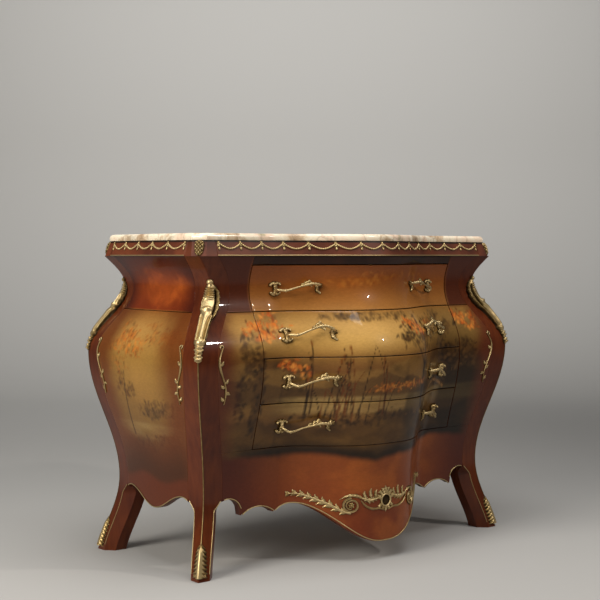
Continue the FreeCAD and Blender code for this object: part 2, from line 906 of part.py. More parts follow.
def wrapped(hand, end, rows):
    # a strip bent round the corner line: rows of height, wrap on each face and relief at the ridge
    wires = []
    for z, wrap, relief in rows:
        edge = relief * 0.28
        ring = [(-lift, -lift), (wrap, -lift - wrap * 0.05), (wrap * 0.9, -lift - edge - wrap * 0.05)]
        ring += [(-relief * 0.55, -relief * 0.55)]
        ring += [(-lift - edge - wrap * 0.12, wrap * 0.9), (-lift - wrap * 0.12, wrap)]
        wires.append(polygon([corner_point(z, u, w, hand, end) for u, w in ring]))
    return Part.makeLoft(wires, True, True)


def mount_levels(low, high):
    # the body's levels with one more between each pair
    levels = levels_over(low, high)
    halves = [(one + other) / 2 for one, other in zip(levels, levels[1:])]
    return sorted(levels + halves)


def corner_mount(hand, end):
    # a shell above, a collar, then a fluted tail that ends in a small ball
    outline = [(0, 0.3, 0.3), (0.08, 0.75, 0.65), (0.22, 1, 0.9), (0.34, 0.95, 1), (0.42, 0.6, 0.75)]
    outline += [(0.5, 0.72, 0.95), (0.66, 0.6, 0.8), (0.84, 0.42, 0.6), (0.94, 0.36, 0.62), (1, 0.22, 0.35)]
    length = val["mount_top"] - val["mount_foot"]
    rows = []
    for z in mount_levels(val["mount_foot"], val["mount_top"]):
        wide, high = between(outline, (val["mount_top"] - z) / length)
        rows.append((z, val["mount_wrap"] * wide, val["mount_relief"] * high))
    return wrapped(hand, end, rows)


for row, end in (("front", -1), ("rear", 1)):
    pair = [shaped("mount_%s_%s" % (row, place), corner_mount(hand, end)) for place, hand in hands.items()]
    keep("corner_mounts_" + row, group("corner_mounts_" + row, pair))


def sabot(hand, end):
    outline = [(0, 1, 1), (0.25, 0.9, 0.9), (0.5, 0.8, 0.8), (0.75, 0.62, 0.8), (1, 0.25, 0.5)]
    rows = []
    for z in mount_levels(0, val["sabot_height"]):
        wide, high = between(outline, z / val["sabot_height"])
        rows.append((z, val["sabot_wrap"] * wide, val["sabot_relief"] * high))
    shoe = wrapped(hand, end, rows)
    radius = val["toe_scroll"]
    tip = corner_point(radius, -1, -1, hand, end)
    width = val["sabot_wrap"] * 1.1
    axis = vec(hand, -end, 0).normalize()
    forward = vec(hand, end, 0).normalize()
    ring = []
    for turn in spread(0, 2 * pi, round_sides)[:-1]:
        ring.append(tip - axis * (width / 2) + (forward * cos(turn) + vec(0, 0, 1) * sin(turn)) * radius)
    scroll = Part.Face(polygon(ring)).extrude(axis * width)
    return shoe.fuse(scroll.cut(post(hand, end))).removeSplitter()


sabots = [shaped("sabot_" + place, sabot(*signs)) for place, signs in corners.items()]
keep("sabots", group("sabots", sabots))


def arris_fillet(hand, end):
    rows = []
    low, high = val["sabot_height"] + 2 * lift, val["mount_foot"] - 2 * lift
    for z in levels_over(low, high):
        rows.append((z, val["fillet_width"] * 0.5, val["fillet_relief"]))
    wires = []
    for z, wrap, relief in rows:
        ring = [(1 - lift, -1 - lift), (wrap - lift, -1 - relief)]
        ring += [(-1 - relief, wrap - lift), (-1 - lift, 1 - lift)]
        wires.append(polygon([corner_point(z, u, w, hand, end) for u, w in ring]))
    return Part.makeLoft(wires, True, True)


fillets = [shaped("fillet_" + place, arris_fillet(*signs)) for place, signs in corners.items()]
keep("arris_fillets", group("arris_fillets", fillets))


# gilt lines on the scalloped edges


def edge_strip(edge, count, place, outward, on_board):
    # the strip stays on its board and stops just short of both ends of the edge
    trim = val["fillet_width"]
    spots = edge.discretize(count)
    spots[0] += (spots[1] - spots[0]).normalize() * trim
    spots[-1] += (spots[-2] - spots[-1]).normalize() * trim
    inset = val["fillet_width"] * 0.6
    spots = [(spot.x, spot.y, spot.z + inset) for spot in spots if on_board(spot)]
    points = [place(*spot) for spot in spots]
    outs = [outward(*spot) for spot in spots]
    widths = [val["fillet_width"]] * len(spots)
    return ribbon(points, outs, widths, [val["fillet_relief"]] * len(spots))


def front_place(x, y, z):
    return vec(x, front(x, z), z)


def on_apron(spot):
    return abs(spot.x) < post_edge(spot.z) - val["fillet_width"]


def on_side_board(spot):
    return abs(spot.y - middle) < arris_depth(spot.z) - post_inner - val["fillet_width"]


strips = []
for index, edge in enumerate(scallops):
    count = 2 * steps_over(edge.Length) + 1
    strip = edge_strip(edge, count, front_place, lambda x, y, z: front_out(x, z), on_apron)
    strips.append(shaped("apron_strip_%d" % (index + 1), strip))
for place, hand in hands.items():
    strip = edge_strip(
        side_edge,
        2 * steps_over(side_edge.Length),
        lambda x, y, z: vec(hand * side(y, z), y, z),
        lambda x, y, z: side_out(y, z, hand),
        on_side_board,
    )
    strips.append(shaped("side_strip_" + place, strip))
keep("apron_fillets", group("apron_fillets", strips))


# garlands, beads and bosses on the cornice


def cornice_front_spot(x, z):
    slope = (cornice_front(x + 1, z) - cornice_front(x - 1, z)) / 2
    tilt = val["cornice_lean"] / val["cornice_height"]
    return vec(x, cornice_front(x, z), z), vec(slope, -1, tilt).normalize()


def cornice_side_spot(y, z, hand):
    slope = (cornice_side(y + 1, z) - cornice_side(y - 1, z)) / 2
    tilt = val["cornice_lean"] / val["cornice_height"]
    return vec(hand * cornice_side(y, z), y, z), vec(hand, -slope, tilt).normalize()


def swag(spot, start, end, high):
    steps = 6
    points, outs = [], []
    for share in spread(0.06, 0.94, steps):
        z = high - val["swag_drop"] * sin(pi * share)
        point, out = spot(start + (end - start) * share, z)
        points.append(point)
        outs.append(out)
    full = swelling(steps, 0.5)
    return ribbon(points, outs, [val["swag_width"] * w for w in full], [val["swag_relief"]] * (steps + 1))


def knot(spot, place, high):
    points, outs = [], []
    shares = (0.3, 1, 0.5, 0.6, 0.2)
    for z in spread(high + val["knot_height"] * 0.15, high - val["knot_height"] * 0.85, len(shares) - 1):
        point, out = spot(place, z)
        points.append(point)
        outs.append(out)
    widths = [val["knot_width"] * w for w in shares]
    return ribbon(points, outs, widths, [val["swag_relief"] * 1.2] * len(shares))


def garland(name, spot, start, end, count):
    high = cornice_top - val["cornice_height"] * 0.2
    places = spread(start, end, count)
    made = []
    for index in range(count):
        half = val["knot_width"] * 0.5
        step = half if end > start else -half
        shape = swag(spot, places[index] + step, places[index + 1] - step, high)
        made.append(shaped("%s_swag_%d" % (name, index + 1), shape))
    for index, place in enumerate(places):
        made.append(shaped("%s_knot_%d" % (name, index + 1), knot(spot, place, high)))
    return made


def bead(spot, start, end, count):
    points, outs = [], []
    for place in spread(start, end, count):
        point, out = spot(place, cornice_low + val["fillet_width"] * 0.6)
        points.append(point)
        outs.append(out)
    widths = [val["fillet_width"]] * (count + 1)
    return ribbon(points, outs, widths, [val["fillet_relief"] * 1.3] * (count + 1))


trims = []
run_x = block_x - val["knot_width"]
run_y = block_y - val["knot_width"]
front_count = int(round(val["front_swags"]))
trims += garland("front_garland", cornice_front_spot, -run_x, run_x, front_count)
beads = [shaped("bead_front", bead(cornice_front_spot, -block_x, block_x, steps_over(2 * block_x)))]
for place, hand in hands.items():
    def spot(y, z, hand=hand):
        return cornice_side_spot(y, z, hand)

    side_count = int(round(val["side_swags"]))
    trims += garland("garland_" + place, spot, middle - run_y, middle + run_y, side_count)
    side_bead = bead(spot, middle - block_y, middle + block_y, steps_over(2 * block_y))
    beads.append(shaped("bead_" + place, side_bead))
keep("cornice_garlands", group("cornice_garlands", trims))
keep("cornice_beads", group("cornice_beads", beads))


def boss(hand, end):
    # a bud on the canted face, full in the middle and drawn in at both ends
    out_x = cornice_side(middle - block_y, cornice_low)
    out_y = val["top_half_depth"] + lean(cornice_low)
    if end < 0:
        out_y = middle - cornice_front(block_x, cornice_low)
    half = val["cant_length"] / 2
    tilt = val["cornice_lean"] / val["cornice_height"]
    points, outs = [], []
    slack = (val["cornice_height"] - val["boss_height"]) / 2
    out = vec(hand, end, 2 * tilt).normalize()
    for z in spread(cornice_low + slack, cornice_top - slack, 6):
        inward = val["cornice_lean"] * (z - cornice_low) / val["cornice_height"]
        points.append(vec(hand * (out_x - half - inward), middle + end * (out_y - half - inward), z))
        outs.append(out)
    full = (0.4, 0.85, 1, 0.9, 1, 0.75, 0.25)
    return ribbon(points, outs, [val["boss_width"] * w for w in full], [val["boss_relief"] * w for w in full])


bosses = [shaped("boss_" + place, boss(*signs)) for place, signs in corners.items()]
keep("corner_bosses", group("corner_bosses", bosses))


# slender scroll mounts on the panel edges


def scroll(points, outs, count):
    full = swelling(count, 0.35)
    widths = [val["scroll_width"] * w for w in full]
    return ribbon(points, outs, widths, [val["scroll_relief"] * (0.4 + 0.6 * w) for w in full])


def scroll_levels():
    high = val["mount_foot"] + val["scroll_rise"]
    return mount_levels(high - val["scroll_length"], high)


def scroll_inset(share):
    # distance from the corner line, swung to and fro along the length
    return val["scroll_inset"] + val["scroll_sway"] * sin(2 * pi * share)


scrolls = []
for place, hand in hands.items():
    levels = scroll_levels()
    count = len(levels) - 1
    points, outs = [], []
    for index, z in enumerate(levels):
        x = hand * (body_width(z) - scroll_inset(index / count))
        points.append(vec(x, front(x, z), z))
        outs.append(front_out(x, z))
    scrolls.append(shaped("front_scroll_" + place, scroll(points, outs, count)))
    for end in (-1, 1):
        points, outs = [], []
        for index, z in enumerate(levels):
            y = middle + end * (body_depth(z) - scroll_inset(index / count))
            points.append(vec(hand * side(y, z), y, z))
            outs.append(side_out(y, z, hand))
        name = "side_scroll_%s_%s" % (place, "front" if end < 0 else "rear")
        scrolls.append(shaped(name, scroll(points, outs, count)))
keep("panel_scrolls", group("panel_scrolls", scrolls))


# scroll mount on the apron: a pierced cartouche between two scrolls that run out into leaves


def apron_path(places, shares):
    points = [vec(x, front(x, z), z) for x, z in places]
    outs = [front_out(x, z) for x, z in places]
    widths = [val["scroll_width"] * 1.5 * w for w in shares]
    return ribbon(points, outs, widths, [val["scroll_relief"] * 0.8 * (1 + w) for w in shares])


def apron_mount():
    level = val["apron_mount_level"]
    pieces = []
    ring = []
    wide, high = val["cartouche_half_width"], val["cartouche_half_height"]
    for turn in spread(0, 2 * pi, 12):
        ring.append((wide * cos(turn), level + high * sin(turn)))
    pieces.append(apron_path(ring[:7], [1] * 7).fuse(apron_path(ring[6:], [1] * 7)))
    for hand in (-1, 1):
        centre = hand * val["apron_scroll_half_span"]
        spiral = []
        for share in spread(0, 1, 16):
            turn = pi * 0.5 + 3.2 * pi * share
            radius = val["apron_scroll"] * (1 - 0.72 * share)
            z = level - val["apron_scroll_drop"] + radius * sin(turn)
            spiral.append((centre - hand * radius * cos(turn), z))
        pieces.append(apron_path(spiral, [1 - 0.4 * share for share in spread(0, 1, 16)]))
        reach = val["apron_mount_half_span"]
        start = val["apron_scroll_half_span"] + val["apron_scroll"] + val["apron_joint"]
        arm = []
        for share in spread(0, 1, 8):
            x = start + (reach - start) * share
            rise = val["apron_leaf_rise"] * share + val["apron_leaf_wave"] * sin(2 * pi * share)
            arm.append((hand * x, level - val["apron_leaf_drop"] + rise))
        pieces.append(apron_path(arm, swelling(8, 0.3)))
        link_start = wide + val["apron_joint"]
        link_end = val["apron_scroll_half_span"] - val["apron_scroll"] - val["apron_joint"]
        link = []
        for share in spread(0, 1, 6):
            x = link_start + (link_end - link_start) * share
            link.append((hand * x, level + val["apron_link_rise"] * sin(pi * share)))
        pieces.append(apron_path(link, swelling(6, 0.5)))
    return Part.makeCompound([solid for piece in pieces for solid in piece.Solids])


keep("apron_mount", shaped("apron_mount", apron_mount()))


doc.recompute()
faults = []
for label, thing in nodes.items():
    shape = thing.Shape
    bad_state = [word for word in thing.State if word in ("Invalid", "Error")]
    if bad_state or shape.isNull() or not shape.isValid() or not shape.Solids:
        faults.append(label)
for label, thing in nodes.items():
    if any(solid.Volume <= 0 for solid in thing.Shape.Solids):
        faults.append(label + " inside out")
if faults:
    raise RuntimeError("faulty pieces: " + ", ".join(faults))

os.makedirs("parts", exist_ok=True)
for label, thing in nodes.items():
    thing.Shape.exportStep("parts/%s.step" % label)
print("pieces", len(nodes), "solids", sum(len(thing.Shape.Solids) for thing in nodes.values()))
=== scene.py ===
from math import atan2, cos, pi, radians, sin, sqrt

import bpy
import numpy as np
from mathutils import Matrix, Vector


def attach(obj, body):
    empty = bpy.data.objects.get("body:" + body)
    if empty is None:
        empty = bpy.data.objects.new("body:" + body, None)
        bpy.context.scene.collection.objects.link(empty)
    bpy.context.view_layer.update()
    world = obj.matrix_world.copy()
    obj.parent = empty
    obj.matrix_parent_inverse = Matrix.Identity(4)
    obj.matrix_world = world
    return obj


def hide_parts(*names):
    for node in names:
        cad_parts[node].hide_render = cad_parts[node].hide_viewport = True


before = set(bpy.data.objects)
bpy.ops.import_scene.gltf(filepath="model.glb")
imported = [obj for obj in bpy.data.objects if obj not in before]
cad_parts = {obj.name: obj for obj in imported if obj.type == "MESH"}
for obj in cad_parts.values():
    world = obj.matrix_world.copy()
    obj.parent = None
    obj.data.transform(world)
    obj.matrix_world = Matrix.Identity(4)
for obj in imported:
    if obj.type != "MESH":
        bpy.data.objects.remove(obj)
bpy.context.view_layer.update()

millimetre = 0.001
print("frame loaded,", len(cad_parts), "nodes")


# colours and shader nodes

def srgb(text):
    parts = [int(text[i:i + 2], 16) / 255 for i in (1, 3, 5)]
    return tuple(c / 12.92 if c <= 0.04045 else ((c + 0.055) / 1.055) ** 2.4 for c in parts) + (1.0,)


def addNode(tree, kind, links=None, stops=(), **settings):
    # one node with its settings, its links or socket values and, on a colour ramp, its stops
    node = tree.nodes.new(kind)
    for key, value in settings.items():
        setattr(node, key, value)
    for socket, source in (links or {}).items():
        target = node.inputs[socket]
        if isinstance(source, bpy.types.NodeSocket):
            tree.links.new(source, target)
        else:
            target.default_value = source
    if stops:
        points = node.color_ramp.elements
        while len(points) < len(stops):
            points.new(0.5)
        for point, (place, colour) in zip(points, stops):
            point.position = place
            point.color = srgb(colour) if isinstance(colour, str) else (colour, colour, colour, 1)
    return node


def newMaterial(name, constants):
    # a material with its shader, and the Object coordinates that its patterns read
    material = bpy.data.materials.new(name)
    material.use_nodes = True
    tree = material.node_tree
    tree.nodes.clear()
    shader = addNode(tree, "ShaderNodeBsdfPrincipled", constants)
    addNode(tree, "ShaderNodeOutputMaterial", {"Surface": shader.outputs[0]})
    coords = addNode(tree, "ShaderNodeTexCoord").outputs["Object"]
    return material, tree, shader, coords


def perMetre(sizeInMm):
    # texture scale whose features are about this many millimetres across
    return 1000 / sizeInMm


polish = {"waveMm": 55, "wave": 0.05, "waveRise": 0.002, "hazeMm": 18, "smooth": 0.3, "rough": 0.4, "ior": 1.5,
          "sheen": 0.08, "coat": 0.35, "coatRough": 0.03}


def newLacquer(name):
    # hand rubbed varnish: nearly mirror smooth, with a faint long wave in the gloss
    material, tree, shader, coords = newMaterial(name, {
        "IOR": polish["ior"], "Specular IOR Level": polish["sheen"], "Coat Weight": polish["coat"],
        "Coat Roughness": polish["coatRough"]})
    wave = addNode(tree, "ShaderNodeTexNoise", {"Vector": coords, "Scale": perMetre(polish["waveMm"]),
                                                "Detail": 1.0})
    bump = addNode(tree, "ShaderNodeBump", {"Height": wave.outputs["Fac"], "Strength": polish["wave"],
                                            "Distance": polish["waveRise"]})
    haze = addNode(tree, "ShaderNodeTexNoise", {"Vector": coords, "Scale": perMetre(polish["hazeMm"]),
                                                "Detail": 4.0})
    rough = addNode(tree, "ShaderNodeMapRange", {"Value": haze.outputs["Fac"], "To Min": polish["smooth"],
                                                 "To Max": polish["rough"]})
    for socket, source in (("Roughness", rough), ("Normal", bump), ("Coat Normal", bump)):
        tree.links.new(source.outputs[0], shader.inputs[socket])
    return material, tree, shader, coords


def makePaintedLacquer():
    # oil colours under clear varnish: soft brush mottling in a deep wet gloss
    material, tree, shader, coords = newLacquer("painted panels under varnish")
    paint = addNode(tree, "ShaderNodeVertexColor", layer_name="paint")
    stretch = addNode(tree, "ShaderNodeMapping", {"Vector": coords, "Scale": (1.0, 1.0, 2.2)})
    marks = addNode(tree, "ShaderNodeTexNoise", {"Vector": stretch.outputs[0], "Scale": perMetre(9),
                                                 "Detail": 5.0, "Roughness": 0.62})
    tint = addNode(tree, "ShaderNodeValToRGB", {"Fac": marks.outputs["Fac"]}, [(0.25, 0.32), (0.75, 0.68)])
    mixed = addNode(tree, "ShaderNodeMix", {"Factor": 0.34, 6: paint.outputs[0], 7: tint.outputs[0]},
                    data_type="RGBA", blend_type="OVERLAY")
    tree.links.new(mixed.outputs[2], shader.inputs["Base Color"])
    return material


def makeRedLacquer():
    # red brown lacquer over veneer: warm depth, faint upright figure, wet gloss
    material, tree, shader, coords = newLacquer("red brown lacquer")
    stretch = addNode(tree, "ShaderNodeMapping", {"Vector": coords, "Scale": (1.0, 1.0, 0.16)})
    figure = addNode(tree, "ShaderNodeTexNoise", {"Vector": stretch.outputs[0], "Scale": perMetre(12),
                                                  "Detail": 6.0, "Roughness": 0.6})
    cloud = addNode(tree, "ShaderNodeTexNoise", {"Vector": coords, "Scale": perMetre(120), "Detail": 2.0})
    both = addNode(tree, "ShaderNodeMath", {0: figure.outputs["Fac"], 1: cloud.outputs["Fac"]}, operation="ADD")
    half = addNode(tree, "ShaderNodeMath", {0: both.outputs[0], 1: 0.5}, operation="MULTIPLY")
    colour = addNode(tree, "ShaderNodeValToRGB", {"Fac": half.outputs[0]},
                     [(0.3, "#43190b"), (0.5, "#56250f"), (0.72, "#683114")])
    tree.links.new(colour.outputs[0], shader.inputs["Base Color"])
    return material


# painted shadow: a dark band along the top of the frieze stands for the shade under the marble's overhang
marbleShadowLine = {"low": 0.8405, "high": 0.8425, "colour": "#1a0a05"}  # the dark line under the marble, in metres


def makeRubbedLacquer():
    # the frieze: the red brown lacquer rubbed dull, with a painted shadow line under the marble
    material, tree, shader, coords = newMaterial("rubbed red brown lacquer with painted shadow line",
                                                 {"Roughness": 0.5, "Specular IOR Level": 0.3})
    cloud = addNode(tree, "ShaderNodeTexNoise", {"Vector": coords, "Scale": perMetre(60), "Detail": 5.0})
    colour = addNode(tree, "ShaderNodeValToRGB", {"Fac": cloud.outputs["Fac"]},
                     [(0.3, "#451c0d"), (0.7, "#6c351c")])
    # painted shade: the frieze turns nearly black just under the marble
    level = addNode(tree, "ShaderNodeSeparateXYZ", {"Vector": coords}).outputs["Z"]
    line = addNode(tree, "ShaderNodeMapRange", {"Value": level, "From Min": marbleShadowLine["low"],
                                                "From Max": marbleShadowLine["high"]})
    mixed = addNode(tree, "ShaderNodeMix", {"Factor": line.outputs[0], 6: colour.outputs[0],
                                            7: srgb(marbleShadowLine["colour"])}, data_type="RGBA")
    tree.links.new(mixed.outputs[2], shader.inputs["Base Color"])
    return material


def makeRailShadeLacquer():
    # the same lacquer painted nearly black brown along the rail: painted shade under the cornice
    material, tree, shader, coords = newLacquer("lacquer darkened as painted shade")
    cloud = addNode(tree, "ShaderNodeTexNoise", {"Vector": coords, "Scale": perMetre(70), "Detail": 4.0})
    colour = addNode(tree, "ShaderNodeValToRGB", {"Fac": cloud.outputs["Fac"]},
                     [(0.3, "#1f0c05"), (0.7, "#34180b")])
    tree.links.new(colour.outputs[0], shader.inputs["Base Color"])
    return material


def makeGiltBronze():
    # cast, chased and gilded bronze: pale gold on the crests, darker in the hollows, partly brown bloom and partly
    # painted shade
    material, tree, shader, coords = newMaterial("gilt bronze, antique finish", {"Metallic": 0.85})
    bloom = addNode(tree, "ShaderNodeTexNoise", {"Vector": coords, "Scale": perMetre(14), "Detail": 5.0})
    # the relief tone is painted shade: low parts of each gilt piece get the dark end of the ramp
    relief = addNode(tree, "ShaderNodeVertexColor", layer_name="relief")
    mixed = addNode(tree, "ShaderNodeMath", {0: bloom.outputs["Fac"], 1: 0.45}, operation="MULTIPLY")
    height = addNode(tree, "ShaderNodeMath", {0: relief.outputs[0], 1: mixed.outputs[0]}, operation="ADD")
    colour = addNode(tree, "ShaderNodeValToRGB", {"Fac": height.outputs[0]},
                     [(0.15, "#1c1208"), (0.5, "#5c4726"), (0.78, "#907849"), (1.0, "#c4ac7c")])
    tree.links.new(colour.outputs[0], shader.inputs["Base Color"])
    grain = addNode(tree, "ShaderNodeTexNoise", {"Vector": coords, "Scale": perMetre(3), "Detail": 3.0})
    rough = addNode(tree, "ShaderNodeMapRange", {"Value": grain.outputs["Fac"], "To Min": 0.3, "To Max": 0.52})
    tree.links.new(rough.outputs[0], shader.inputs["Roughness"])
    bump = addNode(tree, "ShaderNodeBump", {"Height": grain.outputs["Fac"], "Strength": 0.25, "Distance": 0.0006})
    tree.links.new(bump.outputs[0], shader.inputs["Normal"])
    return material


def makeMarble():
    # polished breccia: cream ground with pink, brown and greenish clouds and thin dark veins
    material, tree, shader, coords = newMaterial("polished veined marble", {"Roughness": 0.16, "IOR": 1.49})
    warp = addNode(tree, "ShaderNodeTexNoise", {"Vector": coords, "Scale": perMetre(60), "Detail": 4.0})
    bent = addNode(tree, "ShaderNodeMix", {"Factor": 0.06, 4: coords, 5: warp.outputs["Color"]},
                   data_type="VECTOR")
    cloud = addNode(tree, "ShaderNodeTexNoise", {"Vector": bent.outputs[1], "Scale": perMetre(75),
                                                 "Detail": 6.0, "Roughness": 0.6})
    ground = addNode(tree, "ShaderNodeValToRGB", {"Fac": cloud.outputs["Fac"]},
                     [(0.32, "#9a7c60"), (0.42, "#c9b091"), (0.5, "#efe2c8"), (0.62, "#e8cbb0"), (0.72, "#b3a687")])
    vein = addNode(tree, "ShaderNodeTexVoronoi", {"Vector": bent.outputs[1], "Scale": perMetre(70)},
                   feature="DISTANCE_TO_EDGE")
    line = addNode(tree, "ShaderNodeValToRGB", {"Fac": vein.outputs["Distance"]}, [(0.0, 0.4), (0.05, 1.0)])
    mixed = addNode(tree, "ShaderNodeMix", {"Factor": 0.45, 6: ground.outputs[0], 7: line.outputs[0]},
                    data_type="RGBA", blend_type="MULTIPLY")
    tree.links.new(mixed.outputs[2], shader.inputs["Base Color"])
    return material


def makePlainWood():
    # sawn softwood of the carcass: straight pale grain, dull and dry
    material, tree, shader, coords = newMaterial("unpolished softwood", {"Roughness": 0.62})
    stretch = addNode(tree, "ShaderNodeMapping", {"Vector": coords, "Scale": (0.08, 1.0, 1.0)})
    grain = addNode(tree, "ShaderNodeTexNoise", {"Vector": stretch.outputs[0], "Scale": perMetre(7),
                                                 "Detail": 6.0, "Roughness": 0.65})
    colour = addNode(tree, "ShaderNodeValToRGB", {"Fac": grain.outputs["Fac"]},
                     [(0.3, "#8a6440"), (0.55, "#b48a5e"), (0.75, "#caa477")])
    tree.links.new(colour.outputs[0], shader.inputs["Base Color"])
    bump = addNode(tree, "ShaderNodeBump", {"Height": grain.outputs["Fac"], "Strength": 0.15, "Distance": 0.001})
    tree.links.new(bump.outputs[0], shader.inputs["Normal"])
    return material


def makeBoltSteel():
    # turned steel bolts, dulled by handling
    material, tree, shader, coords = newMaterial("dulled bolt steel", {"Metallic": 1.0, "Roughness": 0.42})
    stain = addNode(tree, "ShaderNodeTexNoise", {"Vector": coords, "Scale": perMetre(4), "Detail": 4.0})
    colour = addNode(tree, "ShaderNodeValToRGB", {"Fac": stain.outputs["Fac"]},
                     [(0.3, "#5d5a55"), (0.7, "#8e8b85")])
    tree.links.new(colour.outputs[0], shader.inputs["Base Color"])
    return material


paintedLacquer = makePaintedLacquer()
redLacquer = makeRedLacquer()
rubbedLacquer = makeRubbedLacquer()
railShadeLacquer = makeRailShadeLacquer()
giltBronze = makeGiltBronze()
marble = makeMarble()
plainWood = makePlainWood()
boltSteel = makeBoltSteel()
print("materials made")


# the swelling body, in millimetres: the same rule as the solids

bodyShape = {
    "corniceLow": 806, "corniceTop": 846, "top": 864, "upperHigh": 783, "waist": 664, "bodyLow": 310,
    "neckLevel": 723, "bellyLevel": 548, "kneeLevel": 205, "legSweep": 0.8,
    "halfWidth": {"top": 520, "neck": 469, "belly": 550, "knee": 491, "toe": 536},
    "halfDepth": {"top": 230, "neck": 205, "belly": 267, "knee": 203, "toe": 246},
    "flankRise": 10, "sideBow": 16,
    "bow": {"top": 93, "belly": 122, "knee": 130},
    "bowHalfWidth": {"top": 310, "belly": 300, "knee": 262},
    "bowFullness": {"top": 1, "belly": 1.25, "knee": 1.5},
    "middle": 60.96, "postWidth": 57, "legFace": 34, "legArchLow": 158, "legArchHigh": 194,
    "drawerHalfWidth": 352, "drawerGap": 2.4, "partingGap": 1.6, "frontBoard": 22, "sideBoard": 20,
    "skinInset": 0.3,
}


def ease(start, end, share):
    return start + (end - start) * (1 - np.cos(np.pi * share)) / 2


def bodyLine(z, kind):
    shape = bodyShape
    sizes = shape[kind]
    z = np.asarray(z, float)
    up = np.clip((z - shape["neckLevel"]) / (shape["corniceLow"] - shape["neckLevel"]), 0, 1)
    neck = sizes["neck"] + (sizes["top"] - sizes["neck"]) * (1 - np.cos(np.pi * up / 2))
    mid = ease(sizes["neck"], sizes["belly"],
               np.clip((shape["neckLevel"] - z) / (shape["neckLevel"] - shape["bellyLevel"]), 0, 1))
    low = ease(sizes["belly"], sizes["knee"],
               np.clip((shape["bellyLevel"] - z) / (shape["bellyLevel"] - shape["kneeLevel"]), 0, 1))
    return np.where(z >= shape["neckLevel"], neck, np.where(z >= shape["bellyLevel"], mid, low))


def arrisLine(z, kind):
    # the corner line: the body's, and below the knee the splayed leg's
    sizes = bodyShape[kind]
    z = np.asarray(z, float)
    sweep = bodyShape["legSweep"] * np.pi
    share = (1 - np.cos(sweep * (1 - np.clip(z / bodyShape["kneeLevel"], 0, 1)))) / (1 - np.cos(sweep))
    return bodyLine(z, kind) + (sizes["toe"] - sizes["knee"]) * share


def bowValue(z, kind):
    sizes = bodyShape[kind]
    z = np.asarray(z, float)
    span = bodyShape["corniceLow"] - bodyShape["bellyLevel"]
    high = ease(sizes["belly"], sizes["top"], np.clip((z - bodyShape["bellyLevel"]) / span, 0, 1))
    span = bodyShape["bellyLevel"] - bodyShape["kneeLevel"]
    low = ease(sizes["belly"], sizes["knee"], np.clip((bodyShape["bellyLevel"] - z) / span, 0, 1))
    return np.where(z >= bodyShape["bellyLevel"], high, low)


def frontY(x, z):
    flank = bodyShape["flankRise"] * (1 - (x / bodyLine(z, "halfWidth")) ** 2)
    share = np.minimum(np.abs(x) / bowValue(z, "bowHalfWidth"), 1) ** bowValue(z, "bowFullness")
    reach = bodyLine(z, "halfDepth") + flank + bowValue(z, "bow") * (1 + np.cos(np.pi * share)) / 2
    return bodyShape["middle"] - reach + bodyShape["skinInset"]


def sideX(y, z):
    fall = ((y - bodyShape["middle"]) / bodyLine(z, "halfDepth")) ** 2
    return bodyLine(z, "halfWidth") + bodyShape["sideBow"] * (1 - fall) - bodyShape["skinInset"]


# meshes

def addPiece(name, points, faces, materials, body, replaced, faceMaterial, sharpAngle=40, colours=None):
    mesh = bpy.data.meshes.new(name)
    mesh.from_pydata((np.asarray(points, float) * millimetre).tolist(), [], faces)
    for material in materials:
        mesh.materials.append(material)
    if faceMaterial is not None:
        mesh.polygons.foreach_set("material_index", np.asarray(faceMaterial, np.int32))
    for label, values in (colours or {}).items():
        layer = mesh.color_attributes.new(label, "FLOAT_COLOR", "POINT")
        layer.data.foreach_set("color", np.asarray(values, np.float32).ravel())
    mesh.shade_smooth()
    mesh.set_sharp_from_angle(angle=radians(sharpAngle))
    mesh.update()
    piece = bpy.data.objects.new(name, mesh)
    bpy.context.collection.objects.link(piece)
    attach(piece, body)
    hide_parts(*replaced)
    return piece


def gridFaces(rows, columns, offset=0, flip=False):
    index = np.arange(rows * columns).reshape(rows, columns) + offset
    quads = np.stack([index[:-1, :-1], index[:-1, 1:], index[1:, 1:], index[1:, :-1]], -1).reshape(-1, 4)
    return quads[:, ::-1] if flip else quads


def sheetFaces(front, back):
    # two grids of points joined round the rim; the kinds are 0 front, 1 back and 2 rim
    rows, columns = front.shape[:2]
    total = rows * columns
    index = np.arange(total).reshape(rows, columns)
    rim = np.concatenate([index[0, :], index[1:, -1], index[-1, -2::-1], index[-2::-1, 0]])
    walls = np.stack([rim[:-1], rim[:-1] + total, rim[1:] + total, rim[1:]], -1)
    faces = [gridFaces(rows, columns), gridFaces(rows, columns, total, True), walls]
    kinds = np.repeat([0, 1, 2], [len(part) for part in faces])
    return np.concatenate([front.reshape(-1, 3), back.reshape(-1, 3)]), np.concatenate(faces), kinds


def lineWithEdges(length, spacing, soft):
    # distances along a board, close together at both ends where the edge is rounded
    count = max(4, int(round(length / spacing)))
    inner = np.linspace(soft, length - soft, count)
    edge = np.array([0, 0.15, 0.45]) * soft
    return np.concatenate([edge, inner, length - edge[::-1]]) / length


def boardMesh(outer, inward, thickness, softness, edgeDistance):
    # a closed board from a grid of outer points: rounded front edges, plain back
    depth = np.clip(softness - edgeDistance, 0, softness)
    sink = softness - np.sqrt(np.maximum(softness ** 2 - depth ** 2, 0))
    inward = np.asarray(inward, float)
    points, quads, kinds = sheetFaces(outer + sink[..., None] * inward, outer + thickness * inward)
    # the grid is turned round where its first faces look inwards
    a, b, c = points[quads[0][0]], points[quads[0][1]], points[quads[0][2]]
    if np.dot(np.cross(b - a, c - a), inward) > 0:
        quads = quads[:, ::-1]
    return points, quads.tolist(), kinds


# the painting: a made-up lakeside landscape in the old brown and gold manner

def hashedCorner(column, row, seed):
    # a repeatable value between 0 and 1 for each corner of a grid
    mixed = column.astype(np.int64) * 374761393 + row.astype(np.int64) * 668265263 + seed * 97531
    mixed = (mixed ^ (mixed >> 13)) * 1274126177
    return ((mixed ^ (mixed >> 16)) & 0xFFFF) / 65535.0


